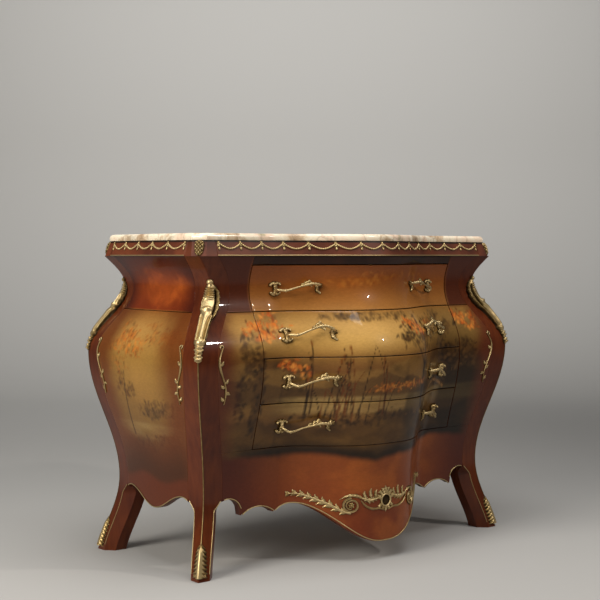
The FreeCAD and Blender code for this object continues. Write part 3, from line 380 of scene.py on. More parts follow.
def cloudy(a, b, size, seed, octaves=4):
    # soft value noise between 0 and 1
    total, weight, whole = 0.0, 1.0, 0.0
    for octave in range(octaves):
        u, v = a / size, b / size
        column, row = np.floor(u), np.floor(v)
        fu, fv = u - column, v - row
        fu, fv = fu * fu * (3 - 2 * fu), fv * fv * (3 - 2 * fv)
        low, high = (hashedCorner(column, row + up, seed + octave) * (1 - fu)
                     + hashedCorner(column + 1, row + up, seed + octave) * fu for up in (0, 1))
        total = total + weight * (low * (1 - fv) + high * fv)
        whole, weight, size = whole + weight, weight * 0.5, size * 0.5
    return total / whole


def soft(start, end, value):
    share = np.clip((value - start) / (end - start), 0, 1)
    return share * share * (3 - 2 * share)


def band(value, start, full, fade, end):
    # rises from start to full and falls away again from fade to end
    return soft(start, full, value) * (1 - soft(fade, end, value))


def shade(text):
    return np.array(srgb(text)[:3])


def lay(ground, colour, share):
    return ground + (shade(colour) - ground) * np.asarray(share)[..., None]


def gradient(value, stops):
    places = [place for place, colour in stops]
    colours = np.array([shade(colour) for place, colour in stops])
    return np.stack([np.interp(value, places, colours[:, i]) for i in range(3)], -1)


brush = {"softness": 0.85, "reach": 1.05, "marksPerClump": 22, "fewestClumps": 5, "scatter": 0.24,
         "length": (0.5, 1.4), "width": (0.35, 0.7), "weight": (0.35, 1)}
leafColours = {
    "bright": ["#5a2a0e", "#8a3f12", "#b8541a", "#cf6d24", "#d98c3c"],
    "dusk": ["#1c120a", "#2a1b0e", "#3c2713", "#5a3d1e"],
    "warm": ["#7a3a12", "#a85a1e", "#c07a30"],
    "amber": ["#5a3212", "#8a4a18", "#b05e20", "#c4772c"],
    "thicket": ["#2a1a0c", "#4a2d14", "#6a431c"],
    "bushes": ["#2a1a0c", "#46301a", "#6a4a26"],
    "shore": ["#2a1a0c", "#46301a", "#6f4a22"],
    "russet": ["#6a3412", "#8e4c18", "#a86a2c"],
    "ember": ["#6a260c", "#94401a", "#b0581e"],
}
bark = "#24160b"


def dab(ground, a, b, centre, radii, turn, colour, strength):
    # one brush mark: a turned oval with a soft rim
    reach = max(radii) * brush["reach"]
    near = (np.abs(a - centre[0]) < reach) & (np.abs(b - centre[1]) < reach)
    if near.any():
        da, db = a[near] - centre[0], b[near] - centre[1]
        u = (da * cos(turn) + db * sin(turn)) / radii[0]
        v = (-da * sin(turn) + db * cos(turn)) / radii[1]
        share = strength * (1 - soft(1 - brush["softness"], 1, np.sqrt(u * u + v * v)))
        ground[near] = ground[near] + (shade(colour) - ground[near]) * share[:, None]


def foliage(ground, a, b, centre, spread, count, leaves, seed, size, strength):
    # a crown of many leaf marks in uneven clumps, dark marks first
    draw, colours = np.random.default_rng(seed), leafColours[leaves]
    clumps = []
    for index in range(max(brush["fewestClumps"], count // brush["marksPerClump"])):
        angle, reach = draw.uniform(0, 2 * pi), sqrt(draw.uniform(0, 1))
        clumps.append((centre[0] + spread[0] * reach * cos(angle), centre[1] + spread[1] * reach * sin(angle)))
    for index in range(count):
        clump = clumps[draw.integers(len(clumps))]
        place = [clump[i] + spread[i] * brush["scatter"] * draw.normal() for i in (0, 1)]
        tint = colours[min(int(index / count * len(colours)), len(colours) - 1)]
        length = size * draw.uniform(*brush["length"])
        dab(ground, a, b, place, (length, length * draw.uniform(*brush["width"])), draw.uniform(0, pi), tint,
            strength * draw.uniform(*brush["weight"]))


def stroke(ground, a, b, start, bend, end, widths, colour, strength, steps):
    # a tapering brush line along a bent row of marks
    for share in np.linspace(0, 1, steps):
        place, ahead = [], []
        for one, middle, other in zip(start, bend, end):
            place.append((1 - share) ** 2 * one + 2 * share * (1 - share) * middle + share ** 2 * other)
            ahead.append(2 * (1 - share) * (middle - one) + 2 * share * (other - middle))
        length = sqrt(ahead[0] ** 2 + ahead[1] ** 2) / (steps - 1)
        width = widths[0] + (widths[1] - widths[0]) * share
        dab(ground, a, b, place, (max(length, width), width), atan2(ahead[1], ahead[0]), colour, strength)


def hillLine(x, level, sway, wave, phase, rough, grain, seed):
    # the wavy upper edge of hills or of a bank
    return level + sway * np.sin(x / wave + phase) + rough * cloudy(x, 0 * x, grain, seed)


def layRidge(ground, x, z, line, colour, share, rim, foot):
    return lay(ground, colour, share * soft(*rim, hillLine(x, *line) - z) * soft(*foot, z))


def layGlow(ground, x, z, glow):
    (placeX, placeZ), (reachX, reachZ) = glow["place"], glow["reach"]
    away = ((x - placeX) / reachX) ** 2 + ((z - placeZ) / reachZ) ** 2
    return lay(ground, glow["colour"], glow["share"] * np.exp(-away))


frontPainting = {
    # colours by height
    "air": [(300, "#3a240f"), (330, "#5c3d1c"), (380, "#745028"), (428, "#7a582c"), (470, "#5c3b1a"),
            (520, "#6a4520"), (548, "#7e5628"), (585, "#a0783c"), (625, "#aa8044"), (655, "#946a32"),
            (668, "#9a652e"), (700, "#945c28"), (740, "#8e4f1f"), (783, "#84461a"), (806, "#4a1f0e")],
    "mist": {"squash": 1.6, "size": 150, "seed": 3, "share": 0.95, "neckLess": 0.5, "neck": (650, 690)},
    "glow": {"colour": "#d8ad62", "share": 0.4, "place": (-105, 600), "reach": (150, 50)},
    # hill line, colour, share, softness of its rim and the heights over which its foot fades
    "ridges": [((512, 20, 88, 0.6, 26, 60, 11), "#8a6632", 0.6, (2, 14), (430, 470)),
               ((470, 14, 61, 2.2, 30, 42, 17), "#553a1d", 0.8, (0, 8), (415, 440))],
    "lake": {"colour": "#a98a52", "near": (388, 410), "far": (436, 448), "left": (-340, -240), "calm": 0.2,
             "ripple": 0.6, "stretch": 9, "squash": 1.1, "size": 9, "seed": 23},
    "bank": {"line": (378, 16, 77, 1, 34, 46, 29), "rim": (0, 22), "share": 0.55, "light": "#7c5828", "depth": 18,
             "lightRim": (0, 30), "squash": 2, "size": 34, "seed": 31},
    # dusk: painted shade over the right hand side of the front, below the neck
    "dusk": {"share": 0.5, "from": (40, 330), "below": (690, 600)},
    "patches": {"share": 0.6, "from": (0.52, 0.66), "size": 120, "seed": 37, "below": (560, 520)},
    "bridge": {"colour": "#8a6234", "middle": 232, "half": 62, "end": 66, "foot": 438, "rise": 22, "share": 0.85,
               "rim": (2.5, 5.5), "rail": 13, "railRim": (1.2, 3.4), "railShare": 0.8, "posts": 7, "postReach": 54,
               "postMiddle": 7, "postHigh": 15, "postWidths": (1.9, 1.9), "postMarks": 4},
    # start, bend, end, widths at both ends, colour, strength and marks of each limb of the tree
    "limbs": [((118, 402), (96, 480), (128, 588), (9, 3.5), bark, 0.95, 16),
              ((108, 500), (128, 540), (178, 574), (5, 2), bark, 0.9, 10),
              ((110, 520), (90, 560), (58, 592), (4.5, 2), bark, 0.9, 10)],
    # centre, spread, marks, colours, seed, mark size and strength
    "crowns": [((122, 604), (92, 36), 240, "dusk", 41, 11, 0.9),
               ((120, 622), (80, 26), 130, "bright", 43, 8, 0.95),
               ((-330, 628), (64, 30), 170, "bright", 47, 9, 0.95),
               ((-10, 650), (150, 12), 170, "dusk", 48, 9, 0.6),
               ((250, 600), (90, 44), 170, "dusk", 50, 11, 0.6),
               ((-250, 520), (58, 20), 90, "bright", 49, 8, 0.9),
               ((-388, 470), (34, 110), 330, "dusk", 53, 13, 0.9),
               ((336, 512), (66, 60), 220, "dusk", 59, 12, 0.85),
               ((390, 620), (44, 36), 130, "bright", 60, 9, 0.8),
               ((-60, 384), (150, 16), 220, "dusk", 61, 9, 0.85),
               ((60, 462), (120, 14), 150, "warm", 63, 7, 0.8),
               ((40, 742), (190, 22), 120, "warm", 67, 13, 0.35)],
    "grass": {"seed": 71, "count": 30, "feet": (-230, -30), "height": (70, 190), "sway": (-36, 40), "level": 392,
              "uneven": 14, "bend": (0.2, 0.6), "widths": (2.9, 1.4), "colours": (bark, "#5f3013", "#3c2411"),
              "share": 0.9, "marks": 16, "head": (4.4, 12), "headRise": 6, "headColour": "#6a3410", "headEvery": 4},
    # the lacquer at both ends, from where to where along the front
    "surround": {"neck": "#4a1e11", "neckShare": 0.94, "neckFrom": (345, 362), "neckLevels": (655, 668),
                 "belly": "#5a2815", "bellyShare": 0.92, "bellyFrom": (402, 470), "wander": 34, "grain": 60,
                 "seed": 83},
    # the picture's wavy lower edge and the shadow along it
    "edge": {"level": 292, "sway": 5, "wave": 38, "rough": 9, "grain": 40, "seed": 97, "sag": 18, "sagWidth": 150,
             "rim": (-8, 12), "shadow": "#1c1109", "share": 0.85, "reach": (40, 4), "rise": 4, "ends": (330, 440)},
    "apron": {"colours": [(49, "#6a2a10"), (180, "#7a3814"), (300, "#84431a")], "ends": "#481b10",
              "endShare": 0.95, "endsFrom": (190, 430), "glow": "#a0561f", "glowShare": 0.5,
              "glowFrom": (0.45, 0.75), "glowEnds": (200, 360), "grain": 70, "seed": 89},
}


def paintBridge(ground, x, z):
    # a small arched footbridge with a rail on posts
    look = frontPainting["bridge"]
    middle, foot = look["middle"], look["foot"]
    arch = foot + look["rise"] * (1 - ((x - middle) / look["half"]) ** 2)
    span = np.abs(x - middle) < look["end"]
    ground = lay(ground, look["colour"], look["share"] * span * (1 - soft(*look["rim"], np.abs(z - arch))))
    rail = 1 - soft(*look["railRim"], np.abs(z - arch - look["rail"]))
    ground = lay(ground, bark, look["railShare"] * span * rail)
    for post in np.linspace(middle - look["postReach"], middle + look["postReach"], look["posts"]):
        low = foot + look["rise"] * (1 - ((post - middle) / look["half"]) ** 2)
        places = [(post, low + up) for up in (0, look["postMiddle"], look["postHigh"])]
        stroke(ground, x, z, *places, look["postWidths"], bark, look["railShare"], look["postMarks"])
    return ground


def paintGrass(ground, x, z):
    # tall grasses and bulrushes in the left foreground
    look = frontPainting["grass"]
    draw = np.random.default_rng(look["seed"])
    for index in range(look["count"]):
        foot = draw.uniform(*look["feet"])
        height, sway = draw.uniform(*look["height"]), draw.uniform(*look["sway"])
        low = look["level"] + draw.uniform(-look["uneven"], look["uneven"])
        bend = (foot + sway * look["bend"][0], low + height * look["bend"][1])
        colour = look["colours"][index % len(look["colours"])]
        stroke(ground, x, z, (foot, low), bend, (foot + sway, low + height), look["widths"], colour, look["share"],
               look["marks"])
        if index % look["headEvery"] == 0:
            dab(ground, x, z, (foot + sway, low + height + look["headRise"]), look["head"], 0, look["headColour"],
                look["share"])


def paintFrontFrame(ground, x, z):
    # the lacquer closes in at both ends, and the apron is red brown below a dark edge
    around, edge, apron = (frontPainting[key] for key in ("surround", "edge", "apron"))
    aside = np.abs(x)
    wander = around["wander"] * (cloudy(x, z, around["grain"], around["seed"]) - 0.5)
    neck = soft(*around["neckLevels"], z)
    ground = lay(ground, around["neck"], around["neckShare"] * neck * soft(*around["neckFrom"], aside))
    ends = soft(*around["bellyFrom"], aside + wander)
    ground = lay(ground, around["belly"], around["bellyShare"] * (1 - neck) * ends)
    line = edge["level"] + edge["sway"] * np.sin(x / edge["wave"])
    line = line + edge["rough"] * (cloudy(x, 0 * x, edge["grain"], edge["seed"]) - 0.5)
    line = line - edge["sag"] * np.exp(-(x / edge["sagWidth"]) ** 2)
    shadow = soft(*edge["reach"], np.abs(z - line - edge["rise"])) * (1 - soft(*edge["ends"], aside))
    ground = lay(ground, edge["shadow"], edge["share"] * shadow)
    warm = gradient(z, apron["colours"])
    warm = lay(warm, apron["ends"], apron["endShare"] * soft(*apron["endsFrom"], aside + wander))
    cloud = soft(*apron["glowFrom"], cloudy(x, z, apron["grain"], apron["seed"]))
    warm = lay(warm, apron["glow"], apron["glowShare"] * (cloud * (1 - soft(*apron["glowEnds"], aside))))
    return ground + (warm - ground) * soft(*edge["rim"], line - z)[..., None]


def paintFront(x, z):
    look = frontPainting
    ground = gradient(z, look["air"])
    mist, lake, bank, dusk, patches = (look[key] for key in ("mist", "lake", "bank", "dusk", "patches"))
    cloud = cloudy(x, z * mist["squash"], mist["size"], mist["seed"]) - 0.5
    ground = ground * (1 + cloud * (mist["share"] - mist["neckLess"] * soft(*mist["neck"], z)))[..., None]
    ground = layGlow(ground, x, z, look["glow"])
    for ridge in look["ridges"]:
        ground = layRidge(ground, x, z, *ridge)
    # the lake with its ripples, then the near bank with light on its grass
    waves = cloudy(x / lake["stretch"], z * lake["squash"], lake["size"], lake["seed"], 2)
    ripple = lake["calm"] + lake["ripple"] * waves
    water = band(z, *lake["near"], *lake["far"])
    ground = lay(ground, lake["colour"], water * ripple * soft(*lake["left"], x))
    below = hillLine(x, *bank["line"]) - z
    ground = lay(ground, bark, bank["share"] * soft(*bank["rim"], below))
    grassLight = soft(*bank["lightRim"], below - bank["depth"])
    grassLight = grassLight * cloudy(x, z * bank["squash"], bank["size"], bank["seed"])
    ground = lay(ground, bank["light"], bank["share"] * grassLight)
    # painted shade darkens the lower front towards the right hand side, which is turned from the light; the picture
    # also darkens in random patches of shade
    ground = ground * (1 - dusk["share"] * soft(*dusk["from"], x) * soft(*dusk["below"], z))[..., None]
    shadeSpots = soft(*patches["from"], cloudy(x, z, patches["size"], patches["seed"]))
    ground = ground * (1 - patches["share"] * shadeSpots * soft(*patches["below"], z))[..., None]
    ground = paintBridge(ground, x, z)
    for limb in look["limbs"]:
        stroke(ground, x, z, *limb)
    for crown in look["crowns"]:
        foliage(ground, x, z, *crown)
    paintGrass(ground, x, z)
    return paintFrontFrame(ground, x, z)


sidePainting = {
    "air": [(147, "#3a1f0e"), (230, "#442911"), (330, "#6a4a22"), (430, "#946c34"), (540, "#a67c3c"),
            (620, "#ac8042"), (664, "#94602a"), (668, "#782e10"), (720, "#74300f"), (806, "#48170a")],
    "mist": {"least": 0.66, "share": 0.42, "size": 120, "seed": 103},
    "ridges": [((420, 16, 40, 0, 24, 40, 107), "#7c5a2c", 0.55, (0, 14), (300, 360))],
    "lake": {"colour": "#a98d58", "share": 0.5, "levels": (318, 334, 366, 380), "stretch": 8, "size": 9,
             "seed": 109},
    "trunk": ((62, 340), (74, 400), (60, 500), (6, 2.5), bark, 0.8, 14),
    "crowns": [((54, 560), (70, 50), 260, "amber", 113, 9, 0.75),
               ((70, 470), (46, 34), 120, "thicket", 115, 9, 0.6),
               ((-70, 420), (90, 30), 200, "bushes", 121, 10, 0.7),
               ((-40, 318), (120, 24), 260, "shore", 127, 10, 0.7),
               ((-110, 612), (80, 30), 180, "russet", 131, 9, 0.6),
               ((-30, 722), (110, 44), 220, "ember", 137, 24, 0.2)],
    "glow": {"colour": "#a04c1c", "share": 0.5, "place": (-20, 728), "reach": (95, 42)},
    # the lacquer round the picture: an oval on the belly, straight ends on the neck
    "surround": {"belly": "#63300f", "bellyShare": 0.92, "bellyFrom": (0.4, 0.9), "centre": 505, "straight": 60,
                 "halfHeight": 190, "halfWidth": 185, "neck": "#3c140a", "neckShare": 0.9, "neckFrom": (90, 160),
                 "wander": 0.2, "neckWander": 30, "grain": 60, "seed": 139},
    "edge": {"level": 232, "sway": 9, "wave": 30, "rim": (-6, 14), "low": "#5a2811", "share": 0.6,
             "reach": (130, 10), "ends": (120, 200)},
}


def paintSide(y, z):
    look = sidePainting
    mist, lake, around, edge = (look[key] for key in ("mist", "lake", "surround", "edge"))
    away = y - bodyShape["middle"]
    ground = gradient(z, look["air"])
    ground = ground * (mist["least"] + mist["share"] * cloudy(away, z, mist["size"], mist["seed"]))[..., None]
    for ridge in look["ridges"]:
        ground = layRidge(ground, away, z, *ridge)
    ripple = cloudy(away / lake["stretch"], z, lake["size"], lake["seed"], 2)
    ground = lay(ground, lake["colour"], lake["share"] * (ripple * band(z, *lake["levels"])))
    stroke(ground, away, z, *look["trunk"])
    for crown in look["crowns"]:
        foliage(ground, away, z, *crown)
    ground = layGlow(ground, away, z, look["glow"])
    belly = z < bodyShape["waist"]
    tall = np.maximum(np.abs(z - around["centre"]) - around["straight"], 0) / around["halfHeight"]
    oval = np.sqrt((away / around["halfWidth"]) ** 2 + tall ** 2)
    wander = around["wander"] * (cloudy(away, z, around["grain"], around["seed"]) - 0.5)
    ground = lay(ground, around["belly"], around["bellyShare"] * soft(*around["bellyFrom"], oval + wander) * belly)
    ends = soft(*around["neckFrom"], np.abs(away) + around["neckWander"] * wander)
    ground = lay(ground, around["neck"], around["neckShare"] * ~belly * ends)
    # below its wavy edge the board is red brown, with a dark shadow over it
    line = edge["level"] + edge["sway"] * np.sin(away / edge["wave"])
    shadow = soft(*edge["reach"], z - line) * (1 - soft(*edge["ends"], np.abs(away)))
    ground = lay(ground, bark, edge["share"] * shadow)
    return lay(ground, edge["low"], soft(*edge["rim"], line - z))


# painted boards of the front and the sides

boards = {"spacing": 3.2, "plainSpacing": 4, "edgeRound": 1.1, "seamRound": 0.3, "endGap": 0.3, "stileWidth": 100,
          "sideWidth": 400, "backColour": "#7a5430"}


def colourLayer(colours, count):
    # front points carry the painting, the rest a plain wood tone
    whole = np.ones((count, 4))
    whole[:, :3] = shade(boards["backColour"])
    whole[:len(colours), :3] = colours
    return whole


def boardPiece(name, node, body, ends, span, wall, place, paint, inward, thickness, edgeRound):
    # ends gives the board's ends at a level, span about how wide and high it is, and wall its lower and upper
    # edge at a share of the width
    share, rise = np.meshgrid(*(lineWithEdges(length, boards["spacing"], edgeRound) for length in span))
    low, high = wall(share)
    z = low + (high - low) * rise
    start, end = ends(z)
    across = start + (end - start) * share
    edge = np.minimum(np.minimum(share, 1 - share) * (end - start), np.minimum(rise, 1 - rise) * (high - low))
    points, faces, kinds = boardMesh(place(across, z), inward, thickness, edgeRound, edge)
    colours = {"paint": colourLayer(paint(across.ravel(), z.ravel()), len(points))}
    return addPiece(name, points, faces, [paintedLacquer, plainWood, redLacquer], body, [node],
                    kinds, 40, colours)


def onFront(x, z):
    return np.stack([x, frontY(x, z), z], -1)


def between(low, high):
    return lambda share: (np.full_like(share, low), np.full_like(share, high))


top, waist, bodyLow = (bodyShape[key] for key in ("upperHigh", "waist", "bodyLow"))
lowerHeight = (waist - bodyLow) / 3
drawerLevels = [(waist, top)] + [(waist - (i + 1) * lowerHeight, waist - i * lowerHeight) for i in range(3)]
postInner = bodyShape["postWidth"] + boards["endGap"]
halfGap = bodyShape["drawerGap"] / 2
halfParting = bodyShape["partingGap"] / 2
drawerEnd = bodyShape["drawerHalfWidth"] - halfGap
towardsBack = (0, 1, 0)
for number, (low, high) in enumerate(drawerLevels, 1):
    boardPiece("painted_drawer_front_%d" % number, "drawer_%d_front" % number, "drawer_%d" % number,
               lambda z: (-drawerEnd, drawerEnd), (2 * drawerEnd, high - low),
               between(low + halfGap, high - halfGap), onFront, paintFront, towardsBack, bodyShape["frontBoard"],
               boards["edgeRound"])
stileStart = bodyShape["drawerHalfWidth"] + halfGap
hands = {"left": -1, "right": 1}
stiles = {"neck": (waist + halfParting, bodyShape["corniceLow"]), "belly": (bodyLow, waist - halfParting)}
for side, hand in hands.items():
    def stileEnds(z, hand=hand):
        outer = arrisLine(z, "halfWidth") - postInner
        return (-outer, -stileStart + 0 * z) if hand < 0 else (stileStart + 0 * z, outer)

    for part, (low, high) in stiles.items():
        boardPiece("painted_%s_stile_%s" % (part, side), "%s_stile_%s" % (part, side), "carcass", stileEnds,
                   (boards["stileWidth"], high - low), between(low, high), onFront, paintFront, towardsBack,
                   bodyShape["frontBoard"], boards["seamRound"])


scallops = {
    "joint": (457, 158), "outerTop": (419, 187), "outerCusp": (375, 140), "middleTop": (323, 158),
    "innerCusp": (271, 139), "fallStart": 222, "fallHigh": 158, "fallLow": 49, "fullness": 1.22,
    "top": 309.8, "end": 433.4, "height": 249.8,
}


def arcLevel(x, a, b, c):
    # height on the circle through three points, on its upper side
    (ax, az), (bx, bz), (cx, cz) = a, b, c
    turn = 2 * (ax * (bz - cz) + bx * (cz - az) + cx * (az - bz))
    sa, sb, sc = ax * ax + az * az, bx * bx + bz * bz, cx * cx + cz * cz
    midX = (sa * (bz - cz) + sb * (cz - az) + sc * (az - bz)) / turn
    midZ = (sa * (cx - bx) + sb * (ax - cx) + sc * (bx - ax)) / turn
    radius = sqrt((ax - midX) ** 2 + (az - midZ) ** 2)
    return midZ + np.sqrt(np.maximum(radius ** 2 - (x - midX) ** 2, 0))


def scallopLevel(x):
    sizes = scallops
    x = np.abs(x)
    start, cusp, outerCusp = sizes["fallStart"], sizes["innerCusp"], sizes["outerCusp"]
    level = ease(sizes["fallLow"], sizes["fallHigh"], np.clip(x / start, 0, 1) ** sizes["fullness"])
    dip = sizes["fallHigh"] + (cusp[1] - sizes["fallHigh"]) * np.clip((x - start) / (cusp[0] - start), 0, 1) ** 2
    level = np.where(x > start, dip, level)
    level = np.where(x > cusp[0], arcLevel(x, outerCusp, sizes["middleTop"], cusp), level)
    return np.where(x > outerCusp[0], arcLevel(x, sizes["joint"], sizes["outerTop"], outerCusp), level)


def apronWall(share):
    x = (2 * share - 1) * scallops["end"]
    return scallopLevel(x), np.full_like(share, scallops["top"])


def apronEnds(z):
    end = arrisLine(z, "halfWidth") - postInner
    return -end, end


boardPiece("painted_apron", "front_apron", "carcass", apronEnds, (2 * scallops["end"], scallops["height"]),
           apronWall, onFront, paintFront, towardsBack, bodyShape["frontBoard"], boards["seamRound"])

sideScallop = {"middleLow": 147, "archHigh": 190, "archPlace": 122, "legFall": 32, "fallWidth": 47, "end": 145.7,
               "top": waist - halfParting, "height": 514}


def sideLevel(away):
    # a half wave from the middle drop to the arch, then the fall to the leg
    sizes = sideScallop
    away = np.abs(away)
    rise = ease(sizes["middleLow"], sizes["archHigh"], np.clip(away / sizes["archPlace"], 0, 1))
    fall = sizes["archHigh"] - sizes["legFall"] * ((away - sizes["archPlace"]) / sizes["fallWidth"]) ** 2
    return np.where(away > sizes["archPlace"], fall, rise)


def sideWall(share):
    return sideLevel((2 * share - 1) * sideScallop["end"]), np.full_like(share, sideScallop["top"])


def sideEnds(z):
    reach = arrisLine(z, "halfDepth") - postInner
    return bodyShape["middle"] - reach, bodyShape["middle"] + reach


def onSide(hand):
    return lambda y, z: np.stack([hand * sideX(y, z), y, z], -1)


neckHigh = bodyShape["corniceLow"]
sideBoards = {"neck": (between(waist + halfParting, neckHigh), neckHigh - waist),
              "belly": (sideWall, sideScallop["height"])}
for side, hand in hands.items():
    for part, (wall, height) in sideBoards.items():
        boardPiece("painted_%s_side_%s" % (part, side), "%s_side_%s" % (part, side), "carcass", sideEnds,
                   (boards["sideWidth"], height), wall, onSide(hand), paintSide, (-hand, 0, 0),
                   bodyShape["sideBoard"], boards["seamRound"])
print("painted boards made")


# top rail, cornice boards and corner posts in plain lacquer

def plainBoard(name, node, ends, low, high, place, inward, thickness, material):
    length = ends[1] - ends[0]
    share, rise = np.meshgrid(*(lineWithEdges(span, boards["plainSpacing"], boards["edgeRound"])
                                for span in (length, high - low)))
    across, z = ends[0] + length * share, low + (high - low) * rise
    edge = np.minimum(np.minimum(share, 1 - share) * length, np.minimum(rise, 1 - rise) * (high - low))
    points, faces, kinds = boardMesh(place(across, z), inward, thickness, boards["edgeRound"], edge)
    return addPiece(name, points, faces, [material, plainWood, material], "carcass", [node], kinds)


railEnd = bodyShape["drawerHalfWidth"] + halfGap - boards["endGap"]
# the top rail's nearly black tone is painted shade under the overhanging cornice
plainBoard("shade_darkened_top_rail", "top_rail", (-railEnd, railEnd), top + halfGap, neckHigh, onFront, towardsBack,
           bodyShape["frontBoard"], railShadeLacquer)

cornice = {"lip": 4, "lean": 12, "board": 24, "blockX": 468, "blockY": 178, "cant": 27, "height": 40}


def corniceLean(z):
    return cornice["lip"] - cornice["lean"] * (z - bodyShape["corniceLow"]) / cornice["height"]


def onCorniceFront(x, z):
    return np.stack([x, frontY(x, bodyShape["corniceLow"]) - corniceLean(z), z], -1)


def onCorniceSide(hand):
    return lambda y, z: np.stack([hand * (sideX(y, bodyShape["corniceLow"]) + corniceLean(z)), y, z], -1)


friezeLevels = (bodyShape["corniceLow"], bodyShape["corniceTop"])
plainBoard("frieze_front", "cornice_front", (-cornice["blockX"], cornice["blockX"]), *friezeLevels,
           onCorniceFront, towardsBack, cornice["board"], rubbedLacquer)
for side, hand in hands.items():
    ends = (bodyShape["middle"] - cornice["blockY"], bodyShape["middle"] + cornice["blockY"])
    plainBoard("frieze_" + side, "cornice_" + side, ends, *friezeLevels, onCorniceSide(hand), (-hand, 0, 0),
               cornice["board"], rubbedLacquer)


corners = {"front_left": (-1, -1), "front_right": (1, -1), "rear_left": (-1, 1), "rear_right": (1, 1)}
cornerPost = {"land": 3.2, "levelStep": 5, "faceSteps": 8, "landSteps": 6, "shoulder": 0.2}


def cornerSpot(z, u, w, hand, end):
    x = hand * (arrisLine(z, "halfWidth") - u)
    return np.stack([x, bodyShape["middle"] + end * (arrisLine(z, "halfDepth") - w), z + 0 * x], -1)


def legWidth(z):
    # width of a post's faces: narrow on the leg, and from the arch up that of the post
    low, high = bodyShape["legArchLow"], bodyShape["legArchHigh"]
    full = bodyShape["postWidth"] - cornerPost["shoulder"]
    return ease(bodyShape["legFace"], full, np.clip((z - low) / (high - low), 0, 1))


def postRing(z):
    # distances in from the corner line, front face first and then the side face
    sizes = bodyShape
    width, land, face = sizes["postWidth"], cornerPost["land"], float(legWidth(z))
    fade = min(z / sizes["kneeLevel"], 1)
    wide, deep = float(bodyLine(z, "halfWidth")), float(bodyLine(z, "halfDepth"))
    inset = sizes["skinInset"]

    def rise(u):
        return fade * sizes["flankRise"] * (1 - (1 - u / wide) ** 2) - inset

    def swell(w):
        return fade * sizes["sideBow"] * (1 - (1 - w / deep) ** 2) - inset

    ring = [(width, width - face)]
    ring += [(u, -rise(u)) for u in np.linspace(face, land, cornerPost["faceSteps"])]
    # the arris itself is eased to a small round
    for turn in np.linspace(0, pi / 2, cornerPost["landSteps"])[1:-1]:
        ring.append((land - (land + swell(land)) * sin(turn), land - (land + rise(land)) * cos(turn)))
    ring += [(-swell(w), w) for w in np.linspace(land, face, cornerPost["faceSteps"])]
    return ring + [(width - face, width), (width, width)]


def tubeMesh(rings):
    # rings of equal length joined into a closed skin with flat ends
    rings = np.asarray(rings, float)
    count, sides = rings.shape[:2]
    index = np.arange(count * sides).reshape(count, sides)
    turned = np.roll(index, -1, 1)
    quads = np.stack([index[:-1], turned[:-1], turned[1:], index[1:]], -1).reshape(-1, 4).tolist()
    faces = quads + [index[0][::-1].tolist(), index[-1].tolist()]
    return rings.reshape(-1, 3), faces


def outwards(points, faces):
    # turns all faces round where the closed skin's volume comes out negative
    volume = 0.0
    for size in set(len(face) for face in faces):
        alike = np.array([face for face in faces if len(face) == size])
        first = points[alike[:, 0]]
        for i in range(1, size - 1):
            volume += np.sum(first * np.cross(points[alike[:, i]], points[alike[:, i + 1]]))
    return faces if volume > 0 else [face[::-1] for face in faces]


levels = np.linspace(0, neckHigh, int(neckHigh / cornerPost["levelStep"]))
for place, (hand, end) in corners.items():
    rings = [[cornerSpot(z, u, w, hand, end) for u, w in postRing(z)] for z in levels]
    points, faces = tubeMesh(rings)
    addPiece("lacquered_post_" + place, points, outwards(points, faces), [redLacquer], "carcass",
             ["post_" + place], None, 30)
print("cornice and posts made")


# marble slab with a rounded upper edge

slab = {"overhang": 3, "crown": 9.6, "step": 5, "sideSteps": 84,
        # heights, and how far the edge is drawn in there
        "profile": [(846.1, 1.2), (846.7, 0.4), (848, 0.1), (853, 0.1), (856.5, 0.5), (859, 1.5), (861.2, 3),
                    (862.8, 5), (863.6, 7), (863.9, 9.5), (863.9, 14)]}


def slabOutline(inset):
    # plan of the top, drawn in from the upper edge of the cornice
    low, middle, cant, blockX = bodyShape["corniceLow"], bodyShape["middle"], cornice["cant"], cornice["blockX"]
    lean = float(corniceLean(bodyShape["corniceTop"]))
    edgeX = float(sideX(middle - cornice["blockY"], low) + lean) - inset
    frontLine = float(frontY(blockX, low) - lean) + inset
    rearLine = middle + bodyShape["halfDepth"]["top"] + lean - inset
    lineX = edgeX - cant
    x = np.linspace(-blockX, blockX, int(2 * blockX / slab["step"]))
    points = list(zip(x, frontY(x, low) - lean + inset)) + [(lineX, frontLine)]
    sideStart, sideEnd = frontLine + cant, rearLine - cant
    y = np.linspace(sideStart, sideEnd, slab["sideSteps"])
    bowed = edgeX + slab["crown"] * (1 - ((y - (sideStart + sideEnd) / 2) / ((sideEnd - sideStart) / 2)) ** 2)
    points += list(zip(bowed, y)) + [(lineX, rearLine), (-lineX, rearLine)]
    return points + list(zip(-bowed[::-1], y[::-1])) + [(-lineX, frontLine)]


rings = [[(x, y, z) for x, y in slabOutline(drawn - slab["overhang"])] for z, drawn in slab["profile"]]
points, faces = tubeMesh(rings)
addPiece("marble_slab", points, outwards(points, faces), [marble], "carcass", ["marble_top"], None, 40)
print("marble made")


# gilt reliefs: shapes drawn on a surface and raised from it

def outwardSpot(place, sign):
    # points and outward directions of any surface given by two distances
    def spot(a, b):
        step = 0.4
        a, b = np.broadcast_arrays(np.asarray(a, float), np.asarray(b, float))
        alongA = (place(a + step, b) - place(a - step, b)) / (2 * step)
        alongB = (place(a, b + step) - place(a, b - step)) / (2 * step)
        out = sign * np.cross(alongA, alongB)
        out = out / np.linalg.norm(out, axis=-1, keepdims=True)
        return place(a, b), out, np.linalg.norm(alongA, axis=-1), np.linalg.norm(alongB, axis=-1)
    return spot


